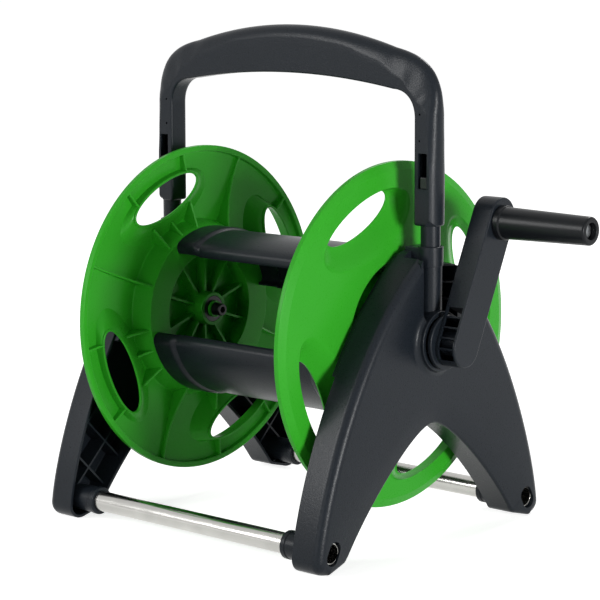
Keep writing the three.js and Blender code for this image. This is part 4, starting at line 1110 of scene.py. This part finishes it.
# half of a section, front side, from the middle of the inner face to the middle of the outer face
def sectionHalf(thickness, crease, tilt, edge):
    half = handle["side"] / 2
    steps = 5
    soft = min(edge, thickness * crease * 0.9)
    points = [(0, 0), (0, -(half - edge) * 0.5)]
    for i in range(steps + 1):
        angle = math.pi / 2 * i / steps
        points.append((soft * (1 - math.cos(angle)), -(half - edge) - edge * math.sin(angle)))
    line = thickness * crease
    for i in range(1, 5):
        points.append((lerp(soft, line, i / 4), -half))
    rest = thickness - line
    lean = math.radians(max(90 - 2 * math.degrees(math.atan(rest / half)), tilt))
    kappa = quarterBend
    arc = bezier((line, -half),
                 (line + kappa * rest * math.cos(lean), -half + kappa * rest * math.sin(lean)),
                 (thickness, -kappa * half), (thickness, 0), 12)
    return points + arc[1:]


def carryHandle():
    rings = []
    pairs = handleStations()
    length = 0
    previous = None
    placesAlong = []
    for outer, inner in pairs:
        middle = (Vector(outer) + Vector(inner)) / 2
        if previous is not None:
            length += (middle - previous).length
        previous = middle
        placesAlong.append(length)
    for (outer, inner), place in zip(pairs, placesAlong):
        outer, inner = Vector(outer), Vector(inner)
        thickness = (outer - inner).length
        across = (outer - inner).normalized()
        crease, tilt = track(handle["creases"], place), track(handle["tilts"], place)
        front = sectionHalf(thickness, crease, tilt, handle["frontRound"])
        rear = sectionHalf(thickness, crease, tilt, handle["rearRound"])
        section = front + [(u, -v) for u, v in reversed(rear[1:-1])]
        ring = []
        for u, v in section:
            point = inner + across * u
            ring.append((point.x, v, point.y))
        rings.append(ring)
    other = [[(-x, y, z) for x, y, z in ring] for ring in reversed(rings[:-1])]
    soft = handle["footSoft"]
    foot = []
    for i in range(4):
        angle = math.pi / 2 * i / 3
        sink = soft * (1 - math.sin(angle))
        scale = 1 - sink / (handle["side"] / 2)
        foot.append([(handle["x"] + (x - handle["x"]) * scale, y * scale,
                      handle["foot"] + soft * (1 - math.cos(angle))) for x, y, z in rings[0]])
    footLeft = [[(-x, y, z) for x, y, z in ring] for ring in reversed(foot)]
    body = newObject("handle", *joinRings(foot + rings[1:] + other[:-1] + footLeft))
    cuts = []
    for side in (-1, 1):
        x = side * handle["x"]
        cuts.append(rod("bore", handle["bore"], handle["foot"] - 5, handle["boreTop"], 56, "z",
                        (x, 0, 0)))
        middle, half = x - side * handle["windowShift"], handle["windowHalf"]
        cuts.append(block("window", (middle - half, -20, handle["windowFoot"]),
                          (middle + half, 0, handle["windowTop"])))
    combine(body, "DIFFERENCE", *cuts)
    pins = []
    for side in (-1, 1):
        for across, z in handle["pinholes"]:
            radius = handle["pinholeRadius"]
            pins.append(plate("pin",
                              [(side * (handle["x"] + across) + radius * math.cos(a * math.pi / 8),
                                       z + radius * math.sin(a * math.pi / 8)) for a in range(16)],
                              -14, -9.5, "y"))
    combine(body, "DIFFERENCE", *pins)
    # a facet at the foot of each leg's front outer edge
    for side in (-1, 1):
        low, facet, out = handle["foot"], handle["facet"], handle["side"] / 2
        wide = [Vector((side * (handle["x"] + facet["crease"]), -out, low + facet["rise"])),
                Vector((side * (handle["x"] + facet["across"]), -out - 0.01, low - 0.01)),
                Vector((side * (handle["x"] + out - 0.8), facet["back"], low - 0.01))]
        across, ahead, down = facet["reach"]
        tip = wide + [p + Vector((side * across, ahead, down)) for p in wide]
        wedge = newObject("wedge", tip,
                          [(0, 1, 2), (3, 5, 4), (0, 3, 4, 1), (1, 4, 5, 2), (2, 5, 3, 0)])
        combine(body, "DIFFERENCE", wedge)
    return body


finishPiece(move(carryHandle(), 0, (0, handle["y"], 0)), "carryHandle", "anthracite_plastic",
            "handle",
            ["carry_handle"], 0, 24)

latch = {"width": 7.6, "foot": 337, "height": 10.5, "face": -11.3, "back": -4.8, "soft": 0.7,
         "leafWall": 1.5, "leafFoot": 323, "leafTop": 346, "leafInset": 0.6}
for name, node, body, side in (("leftLatchButton", "left_latch_button", "left_latch", -1),
                               ("rightLatchButton", "right_latch_button", "right_latch", 1)):
    half = latch["width"] / 2
    low, high = latch["foot"], latch["foot"] + latch["height"]
    button = plate(name, rectangle(-half, low, half, high, latch["soft"]), latch["face"],
                   latch["back"],
                   "y", 0.2, latch["soft"])
    leafHalf, thick = half - latch["leafInset"], latch["leafWall"] / 2
    leaf = block("leaf", (-leafHalf, latch["back"] - thick, latch["leafFoot"]),
                 (leafHalf, latch["back"] + thick, latch["leafTop"]))
    combine(button, "UNION", leaf)
    finishPiece(move(button, 0, (side * handle["x"], handle["y"], 0)), name, "black_plastic", body,
                [node])
print("handle made")

# crank, drawn upright about the axle and then tilted

crank = {
    "tilt": -24.5, "throw": 120, "width": 36.5, "lead": 5.6, "tail": 3.5,
    "inner": 194.3, "outer": 216.8, "wall": 2.6, "soft": 1.5,
    "ladderFoot": -19.15, "ladderTop": 30.6, "rungs": 5, "pitch": -10.2, "ladderWall": 1.6,
    "spineTop": 107,
    "bossRadius": 13, "gripBoss": 11, "square": 15.6, "squareDepth": 13, "boltBore": 3.3,
    "spindleBore": 5.3,
    "nutSeat": 201.3,
}


def armLoop(grow=0.0, steps=20):
    radius = crank["width"] / 2 + grow
    loop = []
    for centre, first in ((crank["throw"] + crank["lead"], 0), (-crank["tail"], math.pi)):
        for i in range(steps + 1):
            angle = first + math.pi * i / steps
            loop.append((radius * math.cos(angle), centre + radius * math.sin(angle)))
    return loop


# a row of rungs down the arm
def growLadder():
    tree, given = newTree("ladderRungs", {
        "Geometry": "Geometry", "Count": "Int", "Pitch": "Float", "Material": "Material"})
    step = addNode(tree, "ShaderNodeCombineXYZ", {"Z": given["Pitch"]})
    line = addNode(tree, "GeometryNodeMeshLine", {
        "Count": given["Count"], "Offset": step.outputs[0]}, mode="OFFSET")
    return endWithCopies(tree, given, line)


ladderTree = growLadder()


def crankArm():
    inner, outer, wall = crank["inner"], crank["outer"], crank["wall"]
    arm = plate("arm", armLoop(), inner, outer, "x", crank["soft"], 0.5)
    floor = outer - wall
    pocket = plate("pocket", armLoop(-wall), inner - 5, floor)
    top = crank["ladderTop"]
    window = block("window", (inner + wall, -crank["width"], crank["ladderFoot"]), (floor, 0, top))
    combine(arm, "DIFFERENCE", pocket, window)
    half, wide = crank["ladderWall"] / 2, crank["width"] / 2
    rung = block("rung", (inner, -wide, top - half), (floor + 1, wide, top + half))
    rungs = runTree(rung, ladderTree, {"Count": crank["rungs"], "Pitch": crank["pitch"],
                                       "Material": anthracitePlastic})
    combine(rungs, "INTERSECT", plate("zone", armLoop(-0.45), inner, floor + 1.2))
    spine = block("spine", (inner + wall, -half, top), (floor + 1.1, half, crank["spineTop"]))
    boss = rod("boss", crank["bossRadius"], inner, floor + 1.3, 56)
    gripBoss = move(rod("boss", crank["gripBoss"], crank["nutSeat"], floor + 1.4, 48), 0,
                    (0, 0, crank["throw"]))
    combine(arm, "UNION", rungs, spine, boss, gripBoss)
    side = crank["square"] / 2
    square = block("square", (inner - 1, -side, -side), (inner + crank["squareDepth"], side, side))
    bolt = rod("bolt", crank["boltBore"], inner - 2, floor, 32)
    spindle = move(rod("spindle", crank["spindleBore"], inner - 2, outer + 2, 40), 0,
                   (0, 0, crank["throw"]))
    return combine(arm, "DIFFERENCE", square, bolt, spindle)


def tilted(obj, atGrip=False):
    if atGrip:
        move(obj, 0, (0, 0, crank["throw"]))
    return move(obj, crank["tilt"])


finishPiece(tilted(crankArm()), "crankArm", "anthracite_plastic", "drum", ["crank_arm"], axleHeight)

hub = {"shoulder": 135.3, "shaft": 13, "flangeStart": 189.3, "flange": 25.8, "end": 194,
       "drive": 18,
       "driveStart": 110, "square": 15, "squareEnd": 207, "bore": 3.3}


def crankHub():
    body = turned("hub", rounded([
        (0, hub["shoulder"]), (hub["shaft"], hub["shoulder"]), (hub["shaft"], hub["flangeStart"]),
        (hub["flange"], hub["flangeStart"]), (hub["flange"], hub["end"]), (0, hub["end"])],
        [0, 0.6, 0.8, 1.3, 1.3, 0], False), 96)
    half = hub["drive"] / 2
    drive = block("drive", (hub["driveStart"], -half, -half), (hub["shoulder"] + 1, half, half),
                  0.8)
    half = hub["square"] / 2
    square = block("square", (hub["end"] - 1, -half, -half), (hub["squareEnd"], half, half), 0.8)
    combine(body, "UNION", drive, square)
    return combine(body, "DIFFERENCE", rod("bore", hub["bore"], 0, 230, 32))


finishPiece(tilted(crankHub()), "crankHub", "anthracite_plastic", "drum", ["crank_hub"], axleHeight)

bolt = {"radius": 3, "tip": 213.9, "head": 6, "headStart": 104.1, "flange": 15.5,
        "flangeStart": 108.1,
        "flangeEnd": 109.7}


def hexagon(radius):
    return [(radius * math.cos(math.radians(60 * i)),
             radius * math.sin(math.radians(60 * i))) for i in range(6)]


def crankTieBolt():
    shank = turned("shank", rounded([
        (0, bolt["flangeStart"]), (bolt["flange"], bolt["flangeStart"]),
        (bolt["flange"], bolt["flangeEnd"]),
        (bolt["radius"], bolt["flangeEnd"]), (bolt["radius"], bolt["tip"]), (0, bolt["tip"])],
        [0, 0.5, 0.5, 0.2, 0.6, 0], False), 56)
    head = plate("head", hexagon(bolt["head"]), bolt["headStart"], bolt["flangeStart"] + 0.5, "x",
                 0, 0.6)
    return combine(shank, "UNION", head)


finishPiece(tilted(crankTieBolt()), "crankTieBolt", "zinc_steel", "drum", ["crank_tie_bolt"],
            axleHeight)

grip = {"start": 217.1, "end": 318.1, "collar": 16.3, "collarLength": 6, "base": 15, "tip": 13.25,
        "mouth": 7.8, "mouthDepth": 9, "bore": 5.3,
        "spindle": 5, "spindleStart": 195.3, "head": 7.2, "headWall": 3.5,
        "nutAcross": 13, "nutStart": 196.0, "nutEnd": 201.0}


def crankGrip():
    start, end = grip["start"], grip["end"]
    mouth = end - grip["mouthDepth"]
    profile = rounded([
        (grip["bore"], start), (grip["collar"], start),
        (grip["collar"], start + grip["collarLength"]),
        (grip["base"] + 0.1, start + grip["collarLength"] + 1.2), (grip["tip"], end),
        (grip["mouth"], end), (grip["mouth"], mouth), (grip["bore"], mouth)],
        [0.4, 1.1, 0.9, 0.6, 2.2, 0.9, 0.5, 0.2], True, 6)
    return turned("grip", profile, 72)


def gripSpindle():
    start, radius = grip["spindleStart"], grip["spindle"]
    seat = grip["end"] - grip["mouthDepth"] + gap
    top = seat + grip["headWall"]
    return turned("spindle", rounded([
        (0, start), (radius, start), (radius, seat), (grip["head"], seat), (grip["head"], top),
        (0, top)],
        [0, 0.5, 0.2, 0.3, 1.2, 0], False), 48)


def gripNut():
    radius = grip["nutAcross"] / 2 / math.cos(math.pi / 6)
    nut = plate("nut", hexagon(radius), grip["nutStart"], grip["nutEnd"], "x", 0.5, 0.5)
    return combine(nut, "DIFFERENCE", rod("bore", grip["bore"], 190, 210, 40))


finishPiece(tilted(crankGrip(), True), "crankGrip", "grip_plastic", "grip", ["crank_grip"],
            axleHeight)
finishPiece(tilted(gripSpindle(), True), "gripSpindle", "zinc_steel", "drum", ["grip_spindle"],
            axleHeight)
finishPiece(tilted(gripNut(), True), "gripNut", "zinc_steel", "drum", ["grip_nut"], axleHeight)
print("crank made")

# bearings and water way

water = {
    "bush": (13.3, 15.7), "bushFlange": 18.7, "bushStart": 135.3, "bushSeat": 136.9, "bushEnd": 160,
    "journal": 13, "journalEnd": -113.5, "flange": 21, "face": 180.3, "flangeWall": 3, "body": 13,
    "end": 207, "branch": 10, "axis": 195, "drop": 24, "bore": 3.2, "spigotBore": 6.5,
    "spigotBoreEnd": 153.5,
    "stem": 6.5, "stemLength": 9, "collar": 12.5, "collarLength": 5, "nipple": 8,
    "nippleLength": 26,
    "grooveShares": (0.35, 0.42, 0.56, 0.62),
    "groove": 6, "spigot": 6.2, "spigotTip": 97, "spigotFlange": 13, "spigotEnd": 149.2,
    "spigotFace": 110, "flangeDepth": 3.2, "oRing": 1.6, "oRings": (12, 24), "oRingCount": 12,
    "lockRing": (6.5, 8.5), "lockStart": -109.7, "lockEnd": -106.7,
}


def rightBush():
    inside, outside = water["bush"]
    return turned("bush", rounded([
        (inside, water["bushStart"]), (water["bushFlange"], water["bushStart"]),
        (water["bushFlange"], water["bushSeat"]), (outside, water["bushSeat"]),
        (outside, water["bushEnd"]),
        (inside, water["bushEnd"])], [0.4, 0.5, 0.5, 0.2, 0.6, 0.6]), 64)


def inletElbow():
    body = turned("elbow", rounded([
        (0, water["journalEnd"]), (water["journal"], water["journalEnd"]),
        (water["journal"], -water["face"]),
        (water["flange"], -water["face"]), (water["flange"], -water["face"] - water["flangeWall"]),
        (water["body"], -water["face"] - water["flangeWall"]), (water["body"], -water["end"]),
        (0, -water["end"])],
        [0, 0.5, 0.2, 0.8, 1.0, 2.0, 4.0, 0], False, 6), 64)
    axis = (-water["axis"], 0, 0)
    branch = turned("branch", [(0, -water["drop"]), (water["branch"] - 0.6, -water["drop"]),
                               (water["branch"], -water["drop"] + 0.6), (water["branch"], 0),
                               (0, 0)], 56, "z", axis)
    combine(body, "UNION", branch)
    stemTop = -water["drop"] + water["stemLength"]
    cuts = [
        rod("bore", water["spigotBore"], -water["spigotBoreEnd"], 0, 40),
        rod("bore", water["bore"], -water["axis"], 0, 32),
        rod("bore", water["bore"], -60, 0, 32, "z", axis),
        rod("bore", water["stem"] + gap, -60, stemTop, 40, "z", axis),
    ]
    for cut in cuts:
        combine(body, "DIFFERENCE", cut)
    return body


def tapNipple():
    top = -water["drop"] + water["stemLength"] - gap
    seat = -water["drop"] - gap
    collar = seat - water["collarLength"]
    length = water["nippleLength"]
    end = collar - length
    first, second, third, fourth = (collar - length * share for share in water["grooveShares"])
    return turned("nipple", rounded([
        (water["bore"], top), (water["stem"], top), (water["stem"], seat), (water["collar"], seat),
        (water["collar"], collar), (water["nipple"], collar), (water["nipple"], first),
        (water["groove"], second), (water["groove"], third),
        (water["nipple"], fourth), (water["nipple"], end + 3), (water["nipple"] - 1.5, end),
        (water["bore"], end)], [0.3, 0.5, 0.2, 0.8, 0.8, 0.6, 0.6, 0.6, 0.6, 0.6, 0.8, 0.6, 0.4]),
        56, "z",
        (-water["axis"], 0, 0))


def outletSpigot():
    face, depth = water["spigotFace"], water["flangeDepth"]
    groove = water["spigot"] - water["oRing"]
    half = water["oRing"] / 2 + 0.2
    profile = [(water["bore"], -water["spigotTip"]), (water["spigot"] - 0.6, -water["spigotTip"]),
               (water["spigot"], -water["spigotTip"] - 1), (water["spigot"], -face),
               (water["spigotFlange"], -face), (water["spigotFlange"], -face - depth),
               (water["spigot"], -face - depth)]
    for place in water["oRings"]:
        at = face + depth + place
        profile += [(water["spigot"], -at + half), (groove, -at + half), (groove, -at - half),
                    (water["spigot"], -at - half)]
    profile += [(water["spigot"], -water["spigotEnd"]), (water["bore"], -water["spigotEnd"])]
    return turned("spigot", rounded(profile, 0.25), 48)


def oRing(place):
    at = water["spigotFace"] + water["flangeDepth"] + place
    radius = water["oRing"] / 2 - 0.05
    middle, count = water["spigot"] - radius + 0.15, water["oRingCount"]
    points = []
    for i in range(count):
        angle = 2 * math.pi * i / count
        points.append((middle + radius * math.cos(angle), -at + radius * math.sin(angle)))
    return turned("ring", points, 48)


finishPiece(rightBush(), "rightAxleBush", "black_plastic", "frame", ["right_axle_bush"], axleHeight)
finishPiece(inletElbow(), "waterInletElbow", "black_plastic", "frame", ["water_inlet_elbow"],
            axleHeight)
finishPiece(tapNipple(), "tapNipple", "black_plastic", "frame", ["tap_nipple"], axleHeight)
finishPiece(outletSpigot(), "hoseOutletSpigot", "black_plastic", "drum", ["hose_outlet_spigot"],
            axleHeight)
finishPiece(ringX("lock", *water["lockRing"], water["lockStart"], water["lockEnd"], 0.4, 48),
            "spigotLockRing", "green_plastic", "drum", ["spigot_lock_ring"], axleHeight)
for name, node, place in (("innerORing", "inner_o_ring", water["oRings"][0]),
                          ("outerORing", "outer_o_ring", water["oRings"][1])):
    finishPiece(oRing(place), name, "seal_rubber", "drum", [node], axleHeight)
print("water way made")

# floor, light and camera

studio = {"floorColour": "#e9e9e8", "floorGlow": 0.8, "farGlow": 1.0, "fadeStart": 0.45,
          "fadeEnd": 1.3,
          "ambient": 0.04, "floorSize": 60.0}


# 1 for the camera, mirrors and glass, 0 for the light that falls on the cart
def seenDirectly(tree):
    seen = addNode(tree, "ShaderNodeLightPath")
    first = addNode(tree, "ShaderNodeMath", {
        0: seen.outputs["Is Camera Ray"], 1: seen.outputs["Is Glossy Ray"]}, operation="MAXIMUM")
    either = addNode(tree, "ShaderNodeMath", {
        0: first.outputs[0], 1: seen.outputs["Is Transmission Ray"]}, operation="MAXIMUM")
    return either


def studioFloor():
    half = studio["floorSize"] / 2
    mesh = bpy.data.meshes.new("floor")
    corners = [(-half, -half, 0), (half, -half, 0), (half, half, 0), (-half, half, 0)]
    mesh.from_pydata(corners, [], [(0, 1, 2, 3)])
    floor = linked("floor", mesh)
    material = bpy.data.materials.new("paleStudioFloor")
    tree = emptyTree(material)
    either = seenDirectly(tree)
    place = addNode(tree, "ShaderNodeTexCoord").outputs["Object"]
    distance = addNode(tree, "ShaderNodeVectorMath", {0: place}, operation="LENGTH")
    fade = addNode(tree, "ShaderNodeMapRange", {
        "Value": distance.outputs["Value"], "From Min": studio["fadeStart"],
        "From Max": studio["fadeEnd"],
        "To Min": studio["floorGlow"], "To Max": studio["farGlow"]},
        interpolation_type="SMOOTHSTEP")
    glow = addNode(tree, "ShaderNodeMath", {0: either.outputs[0], 1: fade.outputs["Result"]},
                   operation="MULTIPLY")
    matt = addNode(tree, "ShaderNodeBsdfDiffuse", {"Color": linear(studio["floorColour"])})
    light = addNode(tree, "ShaderNodeEmission", {"Strength": glow.outputs[0]})
    both = addNode(tree, "ShaderNodeAddShader", {0: matt.outputs[0], 1: light.outputs[0]})
    addNode(tree, "ShaderNodeOutputMaterial", {"Surface": both.outputs[0]})
    mesh.materials.append(material)


def studioWorld():
    world = bpy.data.worlds.new("studio")
    scene.world = world
    tree = emptyTree(world)
    either = seenDirectly(tree)
    strength = addNode(tree, "ShaderNodeMapRange", {
        "Value": either.outputs[0], "To Min": studio["ambient"], "To Max": 1.0})
    sky = addNode(tree, "ShaderNodeBackground",
                  {"Color": (1, 1, 1, 1), "Strength": strength.outputs["Result"]})
    addNode(tree, "ShaderNodeOutputWorld", {"Surface": sky.outputs[0]})


lamps = {
    "sideKey": {"place": (3.0, -0.6, 0.5), "size": 0.7, "power": 66},
    "front": {"place": (-1.5, -2.5, 1.35), "size": 1.1, "power": 46},
    "frontLow": {"place": (0.4, -2.9, 0.7), "size": 1.2, "power": 8},
    "top": {"place": (0.0, 0.1, 2.8), "size": 1.5, "power": 4},
    "rear": {"place": (-0.3, 2.0, 2.2), "size": 0.7, "power": 26},
}


def studioLamps():
    aim = Vector((0, 0, 0.2))
    for name, values in lamps.items():
        data = bpy.data.lights.new(name, "AREA")
        data.shape = "SQUARE"
        data.size = values["size"]
        data.energy = values["power"]
        lamp = linked(name, data)
        lamp.location = values["place"]
        lamp.rotation_euler = (aim - Vector(values["place"])).to_track_quat("-Z", "Y").to_euler()


# degrees; the aim, distance and slide are in millimetres from the middle of the cart on the ground
view = {"azimuth": 42.12420, "elevation": 8.86436, "roll": -0.16901, "distance": 2286.97544,
        "aim": (0, 0, 189.903), "slide": (-6.14627, -24.76101), "lens": 139.47824,
        "sensor": 36, "farthest": 100}


def makeCamera():
    azimuth, elevation, roll = (math.radians(view[k]) for k in ("azimuth", "elevation", "roll"))
    ahead = Vector((-math.sin(azimuth) * math.cos(elevation),
                    math.cos(azimuth) * math.cos(elevation),
                    -math.sin(elevation)))
    level = Vector((math.cos(azimuth), math.sin(azimuth), 0))
    upward = level.cross(ahead)
    right = level * math.cos(roll) + upward * math.sin(roll)
    up = upward * math.cos(roll) - level * math.sin(roll)
    place = Vector(view["aim"]) + Vector((middleX, 0, 0)) - ahead * view["distance"]
    place -= right * view["slide"][0] + up * view["slide"][1]
    data = bpy.data.cameras.new("camera")
    data.lens = view["lens"]
    data.sensor_width = view["sensor"]
    data.clip_end = view["farthest"]  # metres
    camera = linked("camera", data)
    basis = Matrix((right, up, -ahead)).transposed().to_4x4()
    camera.matrix_world = Matrix.Translation(place * mm) @ basis
    scene.camera = camera


studioFloor()
studioWorld()
studioLamps()
makeCamera()
scene.view_settings.view_transform = "Standard"
print("studio made")
